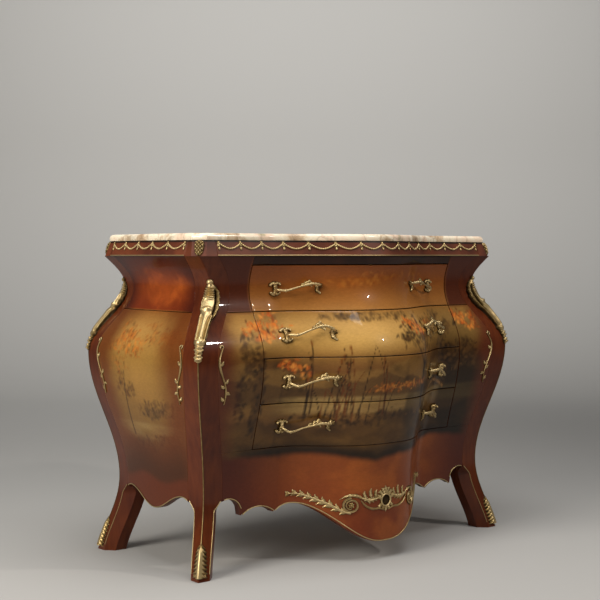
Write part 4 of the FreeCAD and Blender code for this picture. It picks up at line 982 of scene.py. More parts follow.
def cornerPlace(hand, end):
    # the first distance runs round the corner: minus on the side face, plus on the front face
    def place(a, z):
        land = cornerPost["land"]
        turn = land * pi / 4
        angle = pi / 4 - np.clip(a, -turn, turn) / land
        u = land - land * np.sin(angle) + np.maximum(a - turn, 0)
        w = land - land * np.cos(angle) + np.maximum(-a - turn, 0)
        fade = np.minimum(z / bodyShape["kneeLevel"], 1)
        rise = fade * bodyShape["flankRise"] * (1 - (1 - u / bodyLine(z, "halfWidth")) ** 2)
        swell = fade * bodyShape["sideBow"] * (1 - (1 - w / bodyLine(z, "halfDepth")) ** 2)
        inset = bodyShape["skinInset"]
        x = hand * (arrisLine(z, "halfWidth") - u + swell - inset)
        y = bodyShape["middle"] + end * (arrisLine(z, "halfDepth") - w + rise - inset)
        return np.stack([x, y, z + 0 * x], -1)
    return place


frontReliefSpot = outwardSpot(onFront, 1)
sideSpots = {hand: outwardSpot(onSide(hand), hand) for hand in (-1, 1)}
friezeFrontSpot = outwardSpot(onCorniceFront, 1)
friezeSideSpots = {hand: outwardSpot(onCorniceSide(hand), hand) for hand in (-1, 1)}
cornerSpots = {place: outwardSpot(cornerPlace(*signs), signs[0] * signs[1]) for place, signs in corners.items()}

reliefRule = {"sunk": 0.4, "crossSteps": 9, "pathSteps": 24, "spineSteps": 100, "frondSweep": 0.62,
              "sharpAngle": 55}


def closedSheet(front, back, height):
    # a raised sheet and its hidden underside, with its gilding tone: painted shade darkens its low parts
    points, quads = sheetFaces(front, back)[:2]
    return points, quads.tolist(), np.concatenate([height.ravel(), np.zeros(height.size)])


def smoothPath(places, count):
    # an even, rounded line through a few places
    places = np.asarray(places, float)
    ends = np.concatenate([[2 * places[0] - places[1]], places, [2 * places[-1] - places[-2]]])
    lines = []
    for index in range(len(places) - 1):
        p0, p1, p2, p3 = ends[index:index + 4]
        t = np.linspace(0, 1, reliefRule["pathSteps"], endpoint=False)[:, None]
        lines.append(0.5 * (2 * p1 + (p2 - p0) * t + (2 * p0 - 5 * p1 + 4 * p2 - p3) * t ** 2
                            + (3 * p1 - p0 - 3 * p2 + p3) * t ** 3))
    line = np.concatenate(lines + [places[-1:]])
    run = np.concatenate([[0], np.cumsum(np.linalg.norm(np.diff(line, axis=0), axis=1))])
    even = np.linspace(0, run[-1], count)
    return np.stack([np.interp(even, run, line[:, i]) for i in range(line.shape[1])], -1)


profiles = {
    "round": lambda s, t: np.sqrt(np.maximum(1 - s * s, 0)),
    "leaf": lambda s, t: (1 - np.abs(s)) ** 0.6 * (0.78 + 0.22 * np.cos(2 * np.pi * 7 * t + 4 * np.abs(s))),
    "fluted": lambda s, t: np.sqrt(np.maximum(1 - s * s, 0)) * (0.72 + 0.28 * np.cos(3 * np.pi * s)),
    "band": lambda s, t: np.where(np.abs(s) > 0.55, 1.0, 0.55) * np.sqrt(np.maximum(1 - s ** 8, 0)),
}


def strip(spot, places, widths, heights, profile, count, lobes=0, lift=0):
    # a moulded strip along a line on a surface; lobes cut its edges like a leaf
    path = smoothPath(places, count)
    t = np.linspace(0, 1, count)
    wide = np.interp(t, np.linspace(0, 1, len(widths)), widths)
    high = np.interp(t, np.linspace(0, 1, len(heights)), heights)
    if lobes:
        wide = wide * (0.74 + 0.26 * np.abs(np.cos(np.pi * lobes * t)))
    centre, out = spot(path[:, 0], path[:, 1])[:2]
    ahead = np.gradient(centre, axis=0)
    ahead = ahead / np.maximum(np.linalg.norm(ahead, axis=1, keepdims=True), 1e-9)
    across = np.cross(out, ahead)
    s = np.linspace(-1, 1, reliefRule["crossSteps"])
    grid = profiles[profile](s[None, :], t[:, None]) + 0 * t[:, None]
    height = high[:, None] * grid
    level = centre[:, None, :] + across[:, None, :] * (wide[:, None] / 2 * s[None, :])[..., None]
    front = level + out[:, None, :] * (height + lift)[..., None]
    back = level - out[:, None, :] * (reliefRule["sunk"] - lift)
    # the tone falls towards the strip's edges: painted shade on its rounded form
    return closedSheet(front, back, np.clip(grid, 0, 1) ** 0.6)


def medallion(spot, centre, radii, height, petals, rings, spokes, turn=0.0, dish=0.0, bright=1.0):
    # a raised round boss or flower on a surface
    a, b = centre
    scaleA, scaleB = (float(value) for value in spot(a, b)[2:])
    angle = np.linspace(0, 2 * np.pi, spokes, endpoint=False)
    share = np.linspace(0, 1, rings)[1:]
    rho, theta = np.meshgrid(share, angle, indexing="ij")
    wave = (0.82 + 0.18 * np.cos(petals * theta)) if petals else 1.0
    u = rho * radii[0] * wave * np.cos(theta + turn)
    v = rho * radii[1] * wave * np.sin(theta + turn)
    form = np.sqrt(np.maximum(1 - rho ** 2, 0)) * (1 - dish * np.exp(-((rho - 0.42) / 0.14) ** 2))
    if petals:
        form = form * (0.8 + 0.2 * np.cos(petals * theta) * rho)
    level, out = spot(a + u / scaleA, b + v / scaleB)[:2]
    top = level + out * (height * form)[..., None]
    middle, middleOut = spot(a, b)[:2]
    sunk = reliefRule["sunk"]
    points = np.concatenate([[middle + middleOut * height], top.reshape(-1, 3), [middle - middleOut * sunk],
                             level[-1] - out[-1] * sunk])
    faces = [[0, 1 + i, 1 + (i + 1) % spokes] for i in range(spokes)]
    for ring in range(rings - 2):
        for i in range(spokes):
            one, other = 1 + ring * spokes + i, 1 + ring * spokes + (i + 1) % spokes
            faces.append([one, one + spokes, other + spokes, other])
    under = 1 + (rings - 1) * spokes
    last = 1 + (rings - 2) * spokes
    for i in range(spokes):
        j = (i + 1) % spokes
        faces.append([last + i, under + 1 + i, under + 1 + j, last + j])
        faces.append([under, under + 1 + j, under + 1 + i])
    # the tone falls towards the rim: painted shade on the raised boss
    tone = bright * np.concatenate([[1], form.ravel(), np.zeros(1 + spokes)])
    return points, faces, tone


def rod(line, radii, sides):
    # a round bar of changing thickness along a line in space
    ahead = np.gradient(line, axis=0)
    ahead = ahead / np.linalg.norm(ahead, axis=1, keepdims=True)
    first = np.cross(ahead, [0.0, 0.0, 1.0])
    first = first / np.maximum(np.linalg.norm(first, axis=1, keepdims=True), 1e-9)
    second = np.cross(first, ahead)
    angle = np.linspace(0, 2 * np.pi, sides, endpoint=False)
    around = first[:, None, :] * np.cos(angle)[None, :, None] + second[:, None, :] * np.sin(angle)[None, :, None]
    points, faces = tubeMesh(line[:, None, :] + around * radii[:, None, None])
    return points, faces, np.full(len(points), 0.75)


def leaf(spot, foot, tip, bend, width, rise, lobes=2, lift=0, blunt=0.14):
    # one curled leaf from foot to tip, bent sideways by a share of its length and as blunt at the tip as said
    foot, tip = np.asarray(foot, float), np.asarray(tip, float)
    run = tip - foot
    side = np.array([-run[1], run[0]]) * bend
    places = [foot, foot + run * 0.35 + side * 0.8, foot + run * 0.72 + side, tip]
    return strip(spot, places, [width * 0.45, width, width * max(0.85, blunt), width * blunt],
                 [rise * 0.7, rise, rise * 0.8, rise * 0.3], "leaf", 22, lobes, lift)


def frond(spot, places, length, width, rise, count):
    # a long feathered leaf: leaflets swept forward on both sides of a spine
    steps, sweep = reliefRule["spineSteps"], reliefRule["frondSweep"]
    path = smoothPath(places, steps + 1)
    ahead = np.gradient(path, axis=0)
    ahead = ahead / np.linalg.norm(ahead, axis=1, keepdims=True)
    spine = [width * 0.6, width * 0.75, width * 0.6, width * 0.2]
    parts = [strip(spot, places, spine, [rise * 1.1], "round", 90)]
    for share in (np.arange(count) + 0.5) / count:
        at = int(round(share * steps))
        size = length * np.interp(share, [0, 0.3, 0.75, 1], [0.75, 1, 0.75, 0.5])
        for side in (-1, 1):
            across = side * np.array([-ahead[at][1], ahead[at][0]])
            tip = path[at] + (ahead[at] * cos(sweep) + across * sin(sweep)) * size
            parts.append(leaf(spot, path[at], tip, -0.14 * side, width, rise))
    return parts


def giltPiece(name, body, nodes, parts, bright=1.0):
    # several reliefs as one mounted piece
    points, faces, tones, start = [], [], [], 0
    for partPoints, partFaces, tone in parts:
        turned = outwards(partPoints - partPoints.mean(0), partFaces)
        faces += [[index + start for index in face] for face in turned]
        points.append(partPoints)
        tones.append(tone)
        start += len(partPoints)
    tone = bright * np.clip(np.concatenate(tones), 0, 1)
    colours = np.stack([tone, tone, tone, np.ones_like(tone)], -1)
    return addPiece(name, np.concatenate(points), faces, [giltBronze], body, nodes, None,
                    reliefRule["sharpAngle"], {"relief": colours})


def heightSheet(spot, a, b, height, tone=None):
    level, out = spot(a, b)[:2]
    # the tone follows the height: painted shade in the low parts
    shown = height / max(float(height.max()), 1e-6) if tone is None else tone
    return closedSheet(level + out * height[..., None], level - out * reliefRule["sunk"], np.clip(shown, 0, 1))


# corner mounts: a leafy shell with a pierced side scroll, a collar, a fluted tail and a small finial

cornerMount = {
    "top": 748, "foot": 546, "rows": 150, "columns": 61,
    # share from the top, width on the side face, width on the front face, relief
    "form": [(0, 6, 6, 3), (0.02, 10, 10, 8), (0.045, 10, 10, 8), (0.055, 7, 8, 5), (0.1, 15, 18, 10),
             (0.2, 20, 25, 14), (0.32, 22, 29, 17), (0.4, 20, 28, 18), (0.47, 18, 24, 17), (0.53, 16, 16, 15),
             (0.64, 15.5, 14.5, 13), (0.74, 15.5, 14.5, 11.5), (0.765, 20, 18, 13), (0.79, 19, 17, 12),
             (0.805, 13, 12, 8.5), (0.86, 12.5, 12, 10), (0.905, 8, 8, 6.5), (0.93, 10.5, 10.5, 9.5),
             (0.97, 10, 10, 9), (1, 3, 3, 2)],
    # where the parts of the chasing start, are full, fade and end
    "shell": (0.1, 0.16, 0.43, 0.5), "crest": (0.06, 0.1, 0.2, 0.3), "veins": (0.22, 0.28, 0.36, 0.4),
    "tail": (0.45, 0.5, 0.73, 0.76), "knobs": (0.8, 0.82, 0.97, 1),
    "collar": (0.405, 0.022),  # place and width
    "slitDepth": 8.5, "rimRise": 4.2, "scaleRise": 2.4, "veinRise": 2.6, "collarRise": 3.4, "fluteRise": 3.0,
    "knobRise": 2.2, "rimBeads": 42, "scaleRows": 30, "flutes": 5.5, "knobRows": 24, "edgeLobes": 13, "least": 0.2,
    "rearShare": 0.9,
}


def mountHeights(s, t, relief):
    # s runs from the edge on the side face to the edge on the front face, t from the top to the foot
    sizes = cornerMount
    height = relief * np.sqrt(np.maximum(1 - s ** 4, 0)) * (0.62 + 0.38 * (1 - np.abs(s)))
    shell = band(t, *sizes["shell"])
    slit = np.exp(-((s - 0.36 - 0.25 * (t - 0.3)) / 0.15) ** 2) * shell
    height = height - sizes["slitDepth"] * slit * (0.8 + 0.2 * np.cos(60 * s))
    rim = np.exp(-((s - 0.8) / 0.13) ** 2) * shell
    height = height + sizes["rimRise"] * rim * (0.75 + 0.25 * np.cos(2 * np.pi * sizes["rimBeads"] * t))
    scales = np.cos(2 * np.pi * sizes["scaleRows"] * t + 3 * np.abs(s)) * np.cos(5 * s)
    height = height + sizes["scaleRise"] * band(t, *sizes["crest"]) * soft(0.4, 0.1, s) * scales
    height = height + sizes["veinRise"] * band(t, *sizes["veins"]) * soft(0.25, 0.0, s) * np.cos(16 * s + 9 * t)
    place, width = sizes["collar"]
    collar = np.exp(-((t - place) / width) ** 2) * soft(0.3, 0.0, s)
    height = height + sizes["collarRise"] * collar * (0.8 + 0.2 * np.cos(9 * np.pi * s))
    height = height + sizes["fluteRise"] * band(t, *sizes["tail"]) * np.cos(sizes["flutes"] * np.pi * s)
    rows = np.cos(2 * np.pi * sizes["knobRows"] * t) * np.cos(4 * s)
    height = height + sizes["knobRise"] * band(t, *sizes["knobs"]) * rows
    return np.maximum(height, sizes["least"]), slit


def mountGrid(sizes):
    # shares down and across a mount, and the height of each row
    t, s = np.meshgrid(np.linspace(0, 1, sizes["rows"]), np.linspace(-1, 1, sizes["columns"]), indexing="ij")
    return t, s, sizes["top"] - (sizes["top"] - sizes["foot"]) * t


def cornerMountPart(place):
    sizes = cornerMount
    t, s, z = mountGrid(sizes)
    form = np.array(sizes["form"])
    sideWide, frontWide, relief = (np.interp(t, form[:, 0], form[:, i]) for i in (1, 2, 3))
    leafy = 1 + 0.05 * np.cos(2 * np.pi * sizes["edgeLobes"] * t) * (1 - soft(0.74, 0.76, t))
    a = np.where(s < 0, s * sideWide, s * frontWide) * leafy
    height, slit = mountHeights(s, t, relief)
    # painted shade: darker where the relief is low, and nearly black in the pierced slit
    tone = soft(0.3, 1.1, height / relief) * (1 - 0.85 * slit)
    height = height * (sizes["rearShare"] if place.startswith("rear") else 1)
    return heightSheet(cornerSpots[place], a, z, height, tone)


for row in ("front", "rear"):
    parts = [cornerMountPart("%s_%s" % (row, side)) for side in hands]
    giltPiece("gilt_corner_mounts_" + row, "carcass", ["corner_mounts_" + row], parts)


# sabots: a long leaf up the corner of each foot, with a rolled toe

sabot = {"top": 88, "foot": 9, "rows": 90, "columns": 49, "relief": 6.0, "lobes": 8, "vein": 1.7, "rib": 0.9,
         "least": 0.2,
         # share from the top and half width
         "form": [(0, 3), (0.06, 10), (0.2, 17), (0.4, 21), (0.6, 23.5), (0.8, 25.5), (1, 27)],
         # the rolled toe: places round the corner and heights, width and relief
         "rollPath": [(-19, 15), (-9.5, 13), (0, 12), (9.5, 13), (19, 15)], "roll": 7.5, "rollRise": 6.0}


def sabotParts(place):
    sizes = sabot
    t, s, z = mountGrid(sizes)
    aside = np.abs(s)
    wide = np.interp(t, *zip(*sizes["form"])) * (0.9 + 0.1 * np.cos(2 * np.pi * sizes["lobes"] * t))
    height = sizes["relief"] * (1 - 0.75 * aside) * (0.45 + 0.55 * soft(0, 0.25, t))
    veins = np.cos(2 * np.pi * (sizes["lobes"] * t - 1.1 * aside)) * soft(0.12, 0.35, aside)
    height = height + sizes["vein"] * veins + sizes["rib"] * np.exp(-(s / 0.1) ** 2)
    height = np.maximum(height * (1 - aside ** 6), sizes["least"])
    rolled = [sizes["rollRise"] * share for share in (0.6, 1, 0.6)]
    return [heightSheet(cornerSpots[place], s * wide, z, height),
            strip(cornerSpots[place], sizes["rollPath"], [sizes["roll"]], rolled, "fluted", 40)]


giltPiece("gilt_sabots", "carcass", ["sabots"], [part for place in corners for part in sabotParts(place)])


# plain gilt lines: down the corners, along the scalloped edges and the foot of the cornice

giltLine = {"width": 3.2, "relief": 1.8, "cornerBright": 0.6, "edgeBright": 0.85, "low": 88.6, "high": 545.4,
            "step": 6, "fewest": 8, "endGap": 2.5, "cuspGap": 2.0, "legFoot": 16, "legGap": 8, "legInset": 2.6,
            "legShare": 0.8, "corniceShare": 1.2}


def lineOn(spot, line, count, wide=1, high=1):
    return strip(spot, line, [giltLine["width"] * wide], [giltLine["relief"] * high], "round", count)


levels = np.linspace(giltLine["low"], giltLine["high"], 12)
parts = [lineOn(cornerSpots[place], [(0, z) for z in levels], 110) for place in corners]
giltPiece("gilt_corner_lines", "carcass", ["arris_fillets"], parts, bright=giltLine["cornerBright"])

parts = []
inset = giltLine["width"] * 0.6
reach, outer, inner = scallops["end"] - giltLine["endGap"], scallops["outerCusp"][0], scallops["innerCusp"][0]
cusps = [-reach, -outer, -inner, inner, outer, reach]
for start, end in zip(cusps, cusps[1:]):
    count = max(giltLine["fewest"], int((end - start) / giltLine["step"]))
    x = np.linspace(start + giltLine["cuspGap"], end - giltLine["cuspGap"], count)
    parts.append(lineOn(frontReliefSpot, list(zip(x, scallopLevel(x) + inset)), 3 * count))
reach = sideScallop["end"] - giltLine["endGap"]
away = np.linspace(-reach, reach, 60)
for hand in (-1, 1):
    parts.append(lineOn(sideSpots[hand], list(zip(bodyShape["middle"] + away, sideLevel(away) + inset)), 120))
# the line runs on down the inner edge of each leg, on the front and on the sides
levels = np.linspace(giltLine["legFoot"], bodyShape["legArchHigh"] - giltLine["legGap"], 16)
inward = legWidth(levels) - giltLine["legInset"]
for place, (hand, end) in corners.items():
    for face in ((-1, 1) if end < 0 else (-1,)):
        parts.append(lineOn(cornerSpots[place], list(zip(face * inward, levels)), 60, giltLine["legShare"],
                            giltLine["legShare"]))
giltPiece("gilt_edge_lines", "carcass", ["apron_fillets"], parts, bright=giltLine["edgeBright"])

level = bodyShape["corniceLow"] + inset
x = np.linspace(-cornice["blockX"], cornice["blockX"], 80)
y = bodyShape["middle"] + np.linspace(-cornice["blockY"], cornice["blockY"], 30)
parts = [lineOn(friezeFrontSpot, [(a, level) for a in x], 240, high=giltLine["corniceShare"])]
for hand in (-1, 1):
    parts.append(lineOn(friezeSideSpots[hand], [(a, level) for a in y], 90, high=giltLine["corniceShare"]))
giltPiece("gilt_cornice_lines", "carcass", ["cornice_beads"], parts)
print("corner mounts, sabots and gilt lines made")


# garlands on the frieze: swags of small husks between ribbon knots with a drop

garland = {"frontCount": 14, "sideCount": 5, "frontReach": 460, "sideReach": 170, "level": 838, "drop": 13.5,
           "cordWidth": 4.8, "cordRise": 2.4, "budSpacing": 5.2, "budLength": 3.3, "budWidth": 2.6}
knot = {
    # height over the ends of the swags, radii, relief, petals and spokes of the rosette, the neck and the drop
    "bosses": [(1.5, (5.6, 5.6), 3.2, 6, 24), (-5.5, (2.8, 3.6), 2.6, 0, 16), (-13, (3.3, 5.0), 3.0, 0, 16)],
    "tail": [(0, 0), (3.4, -4), (3.0, -10)], "tailWidths": [2.2, 2.0, 0.6], "tailHeights": [1.6, 1.4, 0.6],
}


def knotParts(spot, a, level):
    # a round rosette, two ribbon tails and a hanging drop
    parts = [medallion(spot, (a, level + up), radii, rise, petals, 6, spokes)
             for up, radii, rise, petals, spokes in knot["bosses"]]
    for hand in (-1, 1):
        tail = [(a + hand * out, level + up) for out, up in knot["tail"]]
        parts.append(strip(spot, tail, knot["tailWidths"], knot["tailHeights"], "leaf", 12))
    return parts


parts, swagPoints, swagEdges = [], [], []
runs = [(friezeFrontSpot, -garland["frontReach"], garland["frontReach"], garland["frontCount"])]
for hand in (-1, 1):
    runs.append((friezeSideSpots[hand], bodyShape["middle"] - garland["sideReach"],
                 bodyShape["middle"] + garland["sideReach"], garland["sideCount"]))
for spot, start, end, count in runs:
    places = np.linspace(start, end, count + 1)
    for one, other in zip(places, places[1:]):
        share = np.linspace(0.05, 0.95, 14)
        hang = garland["level"] - garland["drop"] * np.sin(np.pi * share)
        line = np.stack([one + (other - one) * share, hang], -1)
        wide = garland["cordWidth"]
        parts.append(strip(spot, line, [wide * 0.6, wide, wide * 0.6], [garland["cordRise"]], "round", 36))
        path = smoothPath(line, 30)
        level, out = spot(path[:, 0], path[:, 1])[:2]
        first = len(swagPoints)
        swagPoints += ((level + out * garland["cordRise"] * 0.7) * millimetre).tolist()
        swagEdges += [(first + i, first + i + 1) for i in range(len(path) - 1)]
    for place in places:
        parts += knotParts(spot, place, garland["level"])
giltPiece("gilt_garlands", "carcass", ["cornice_garlands"], parts)


def budTree():
    # husks strung along every line of the object: even spacing, turned to the line
    tree = bpy.data.node_groups.new("husks along a line", "GeometryNodeTree")
    face = tree.interface
    face.new_socket("Lines", in_out="INPUT", socket_type="NodeSocketGeometry")
    for label in ("Spacing", "Husk length", "Husk width"):
        face.new_socket(label, in_out="INPUT", socket_type="NodeSocketFloat")
    face.new_socket("Finish", in_out="INPUT", socket_type="NodeSocketMaterial")
    face.new_socket("Husks", in_out="OUTPUT", socket_type="NodeSocketGeometry")
    given = addNode(tree, "NodeGroupInput").outputs
    curve = addNode(tree, "GeometryNodeMeshToCurve", {"Mesh": given["Lines"]})
    even = addNode(tree, "GeometryNodeResampleCurve", {"Curve": curve.outputs[0], "Length": given["Spacing"]},
                   mode="LENGTH")
    ball = addNode(tree, "GeometryNodeMeshUVSphere", {"Segments": 8, "Rings": 5, "Radius": 1.0})
    size = addNode(tree, "ShaderNodeCombineXYZ", {"X": given["Husk width"], "Y": given["Husk width"],
                                                  "Z": given["Husk length"]})
    husk = addNode(tree, "GeometryNodeTransform", {"Geometry": ball.outputs["Mesh"], "Scale": size.outputs[0]})
    ahead = addNode(tree, "GeometryNodeInputTangent")
    turn = addNode(tree, "FunctionNodeAlignRotationToVector", {"Vector": ahead.outputs[0]}, axis="Z")
    strung = addNode(tree, "GeometryNodeInstanceOnPoints",
                     {"Points": even.outputs[0], "Instance": husk.outputs[0], "Rotation": turn.outputs[0]})
    real = addNode(tree, "GeometryNodeRealizeInstances", {"Geometry": strung.outputs[0]})
    smooth = addNode(tree, "GeometryNodeSetShadeSmooth", {"Geometry": real.outputs[0]})
    tone = addNode(tree, "GeometryNodeStoreNamedAttribute",
                   {"Geometry": smooth.outputs[0], "Name": "relief", "Value": (0.8, 0.8, 0.8, 1.0)},
                   data_type="FLOAT_COLOR")
    finish = addNode(tree, "GeometryNodeSetMaterial", {"Geometry": tone.outputs[0], "Material": given["Finish"]})
    addNode(tree, "NodeGroupOutput", {"Husks": finish.outputs[0]})
    return tree


def strungPiece(name, points, edges, settings, body):
    mesh = bpy.data.meshes.new(name + "_lines")
    mesh.from_pydata(points, edges, [])
    holder = bpy.data.objects.new(name, mesh)
    bpy.context.collection.objects.link(holder)
    modifier = holder.modifiers.new("husks", "NODES")
    modifier.node_group = huskTree
    for socket in huskTree.interface.items_tree:
        if socket.in_out == "INPUT" and socket.name in settings:
            modifier[socket.identifier] = settings[socket.name]
    bpy.context.view_layer.update()
    made = bpy.data.meshes.new_from_object(holder.evaluated_get(bpy.context.evaluated_depsgraph_get()))
    holder.modifiers.remove(modifier)
    made.name = name
    holder.data = made
    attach(holder, body)
    return holder


huskTree = budTree()
strungPiece("gilt_garland_husks", swagPoints, swagEdges,
            {"Spacing": garland["budSpacing"] * millimetre, "Husk length": garland["budLength"] * millimetre,
             "Husk width": garland["budWidth"] * millimetre, "Finish": giltBronze}, "carcass")


# pine cones on the canted corner blocks

cone = {"halfWidth": 14.5, "halfHeight": 19.6, "relief": 10.5, "scale": 6.0, "rows": 70, "columns": 56,
        "pitch": 6.6, "slant": 1.4, "tip": 0.12, "least": 0.15}


def cantSpot(hand, end):
    # the slanted face of a corner block
    middle, low = bodyShape["middle"], bodyShape["corniceLow"]
    inset, lip = bodyShape["skinInset"], cornice["lip"]
    outX = float(sideX(middle - cornice["blockY"], low)) + inset + lip
    if end < 0:
        outY = middle - float(frontY(cornice["blockX"], low)) + inset + lip
    else:
        outY = bodyShape["halfDepth"]["top"] + lip
    half, slope = cornice["cant"] / 2, cornice["lean"] / cornice["height"]

    def place(a, z):
        inward = slope * (z - low)
        x = hand * (outX - half - inward - a / sqrt(2))
        y = middle + end * (outY - half - inward + a / sqrt(2))
        return np.stack([x, y, z + 0 * x], -1)
    return outwardSpot(place, hand * end)


def conePart(hand, end):
    sizes = cone
    t, s = np.meshgrid(np.linspace(-1, 1, sizes["rows"]), np.linspace(-1, 1, sizes["columns"]), indexing="ij")
    z = (bodyShape["corniceLow"] + bodyShape["corniceTop"]) / 2 + sizes["halfHeight"] * t
    girth = np.maximum(np.maximum(1 - np.abs(t) ** 2.6, 0) ** 0.5 * (0.86 + 0.14 * t), sizes["tip"])
    a = s * sizes["halfWidth"] * girth
    dome = np.sqrt(np.maximum(1 - s ** 2, 0)) * girth
    rising, falling = (np.cos(np.pi * run / sizes["pitch"] / sizes["slant"]) for run in (a + z, a - z))
    lattice = np.abs(rising * falling)
    height = np.maximum(sizes["relief"] * dome + sizes["scale"] * (lattice - 0.5) * dome, sizes["least"])
    # painted shade: darker in the grooves between the scales and towards the sides of the cone
    tone = (0.35 + 0.65 * soft(0.1, 0.9, lattice)) * (0.6 + 0.4 * dome)
    return heightSheet(cantSpot(hand, end), a, z, height, tone)


giltPiece("gilt_pine_cones", "carcass", ["corner_bosses"], [conePart(*signs) for signs in corners.values()])
print("garlands and cones made")


# slender scrolls on the edges of the panels

panelScroll = {
    "high": 580, "low": 437, "inset": 71, "sway": 8, "widths": [2.6, 5, 8.0, 5, 4.4, 5, 2.2], "relief": 3.4,
    # the curled head: steps up and away from the top of the line
    "head": [(0, 0), (5, -5), (2, -10), (-4, -8)], "headWidths": [3.2, 3.6, 3.4, 2],
    # share from the head, side, rise and size of each leaf
    "leaves": [(0.62, 1, 0.5, 0.8), (0.7, -1, 0.3, 0.8), (0.8, 1, -0.2, 0.8), (0.93, -1, 0.6, 0.6),
               (0.3, 1, 0.4, 0.8)],
    "leaf": 26, "leafWidths": [4, 13, 3], "leafHeights": [1.8, 3.8, 1.2],
}


def panelScrollParts(spot, across):
    # a thin S line that curls at its head, with leaves along it
    sizes = panelScroll

    def spine(share):
        away = sizes["inset"] + sizes["sway"] * np.sin(2 * np.pi * (1 - share))
        return sizes["high"] - (sizes["high"] - sizes["low"]) * share, away

    line = [across(*spine(share)) for share in np.linspace(0, 1, 14)]
    parts = [strip(spot, line, sizes["widths"], [sizes["relief"]], "fluted", 90)]
    high, away = spine(0)
    head = [across(high + up, away + out) for up, out in sizes["head"]]
    parts.append(strip(spot, head, sizes["headWidths"], [sizes["relief"]], "round", 20))
    for share, side, rise, part in sizes["leaves"]:
        foot, away = spine(share)
        size = sizes["leaf"] * part
        leafLine = [across(foot, away), across(foot + size * 0.25 * rise, away + side * size * 0.35),
                    across(foot + size * rise, away + side * size * 0.6)]
        parts.append(strip(spot, leafLine, sizes["leafWidths"], sizes["leafHeights"], "leaf", 24, 3))
    return parts


def inFrom(start, sign, kind):
    # a place on a panel by its level and its distance in from the corner line
    return lambda z, away: (start + sign * (float(bodyLine(z, kind)) - away), z)


parts = []
for hand in (-1, 1):
    parts += panelScrollParts(frontReliefSpot, inFrom(0, hand, "halfWidth"))
    for end in (-1, 1):
        parts += panelScrollParts(sideSpots[hand], inFrom(bodyShape["middle"], end, "halfDepth"))
giltPiece("gilt_panel_scrolls", "carcass", ["panel_scrolls"], parts)


# apron mount: a pierced cartouche between two flower scrolls that run out into leaves

apronMount = {
    "level": 158, "wide": 19, "high": 16, "scroll": 104, "radius": 19, "drop": 6, "relief": 4.4,
    # turn in half circles, length and bend of the leaves round the cartouche
    "leaves": [(0.5, 24, 0), (0.36, 21, 0.2), (0.64, 21, -0.2), (0.22, 19, 0.3), (0.78, 19, -0.3), (0.06, 18, 0.35),
               (0.94, 18, -0.35), (-0.14, 15, -0.3), (1.14, 15, 0.3), (-0.32, 13, -0.2), (1.32, 13, 0.2),
               (-0.5, 17, 0)],
    # lines that start out and up from the middle of the scroll
    "arm": [(2, -21), (22, -14), (52, 5), (88, 24), (112, 32), (134, 31)],
    "crest": [(26, 16), (8, 25), (-14, 24), (-34, 14)],
    "link": [(-24, 12), (-38, -4), (-58, -13), (-80, -14), (-96, -20)],
    "spray": [(-26, 18), (-46, 11), (-64, 12), (-78, 16)],
    # place, size and lean of the leaves that stand between scroll and cartouche
    "sprigs": [(-40, 14, 22, 4), (-56, 15, 26, 0), (-70, 16, 20, -4)],
}


def apronMountParts():
    sizes = apronMount
    level, rise, wide, high = (sizes[key] for key in ("level", "relief", "wide", "high"))
    spot = frontReliefSpot
    # the cartouche: a nearly black oval, painted shade in its pierced middle, in a rolled rim, with overlapping
    # leaves round it
    parts = [medallion(spot, (0, level), (wide * 0.7, high * 0.8), 1.6, 0, 6, 28, bright=0.05)]
    rim = [(wide * 0.85 * cos(t), level + high * sin(t)) for t in np.linspace(0, 2 * pi, 40)]
    parts.append(strip(spot, rim, [6.0], [rise], "round", 90))
    for t, length, bend in sizes["leaves"]:
        ahead = np.array([cos(pi * t), sin(pi * t)])
        foot = np.array([wide * 0.8, high * 0.9]) * ahead + (0, level)
        parts.append(leaf(spot, foot, foot + ahead * length, bend, 15, rise, 3))
    for hand in (-1, 1):
        centre, low = hand * sizes["scroll"], level - sizes["drop"]

        def place(out, up):
            return (centre + hand * out, low + up)

        arm, crest, link, spray = ([place(*at) for at in sizes[key]] for key in ("arm", "crest", "link", "spray"))
        share = np.linspace(0, 1, 34)
        angle = pi * 0.5 + 3.0 * pi * share
        radius = sizes["radius"] * (1.04 - 0.5 * share)
        spiral = [place(-r * cos(t), r * sin(t)) for r, t in zip(radius, angle)]
        parts.append(strip(spot, spiral, [7, 6.5, 5.5, 4], [rise, rise, rise * 0.7], "band", 130))
        parts.append(medallion(spot, (centre, low), (10, 10), 5.6, 7, 9, 42, 0.3, 0.45))
        # the long feathered arm runs out and up from under the scroll
        parts += frond(spot, arm, 22, 12, rise, 9)
        # a leaf over the scroll, and the bowed link to the cartouche
        parts.append(strip(spot, crest, [1.6, 9, 11, 4], [1.2, rise, rise, rise * 0.7], "leaf", 60, 5))
        parts.append(strip(spot, link, [3, 6, 6.5, 6, 2.5], [rise * 0.8, rise, rise, rise * 0.8], "fluted", 90))
        parts += frond(spot, spray, 15, 10, rise, 5)
        for out, up, size, lean in sizes["sprigs"]:
            parts.append(leaf(spot, place(out, up), place(out + lean, up + size), 0.15, 13, rise, 3))
    return parts


giltPiece("gilt_apron_mount", "carcass", ["apron_mount"], apronMountParts())
print("scrolls and apron mount made")


# drawer pulls: a bent bar between a crossed leaf and a hooked leaf

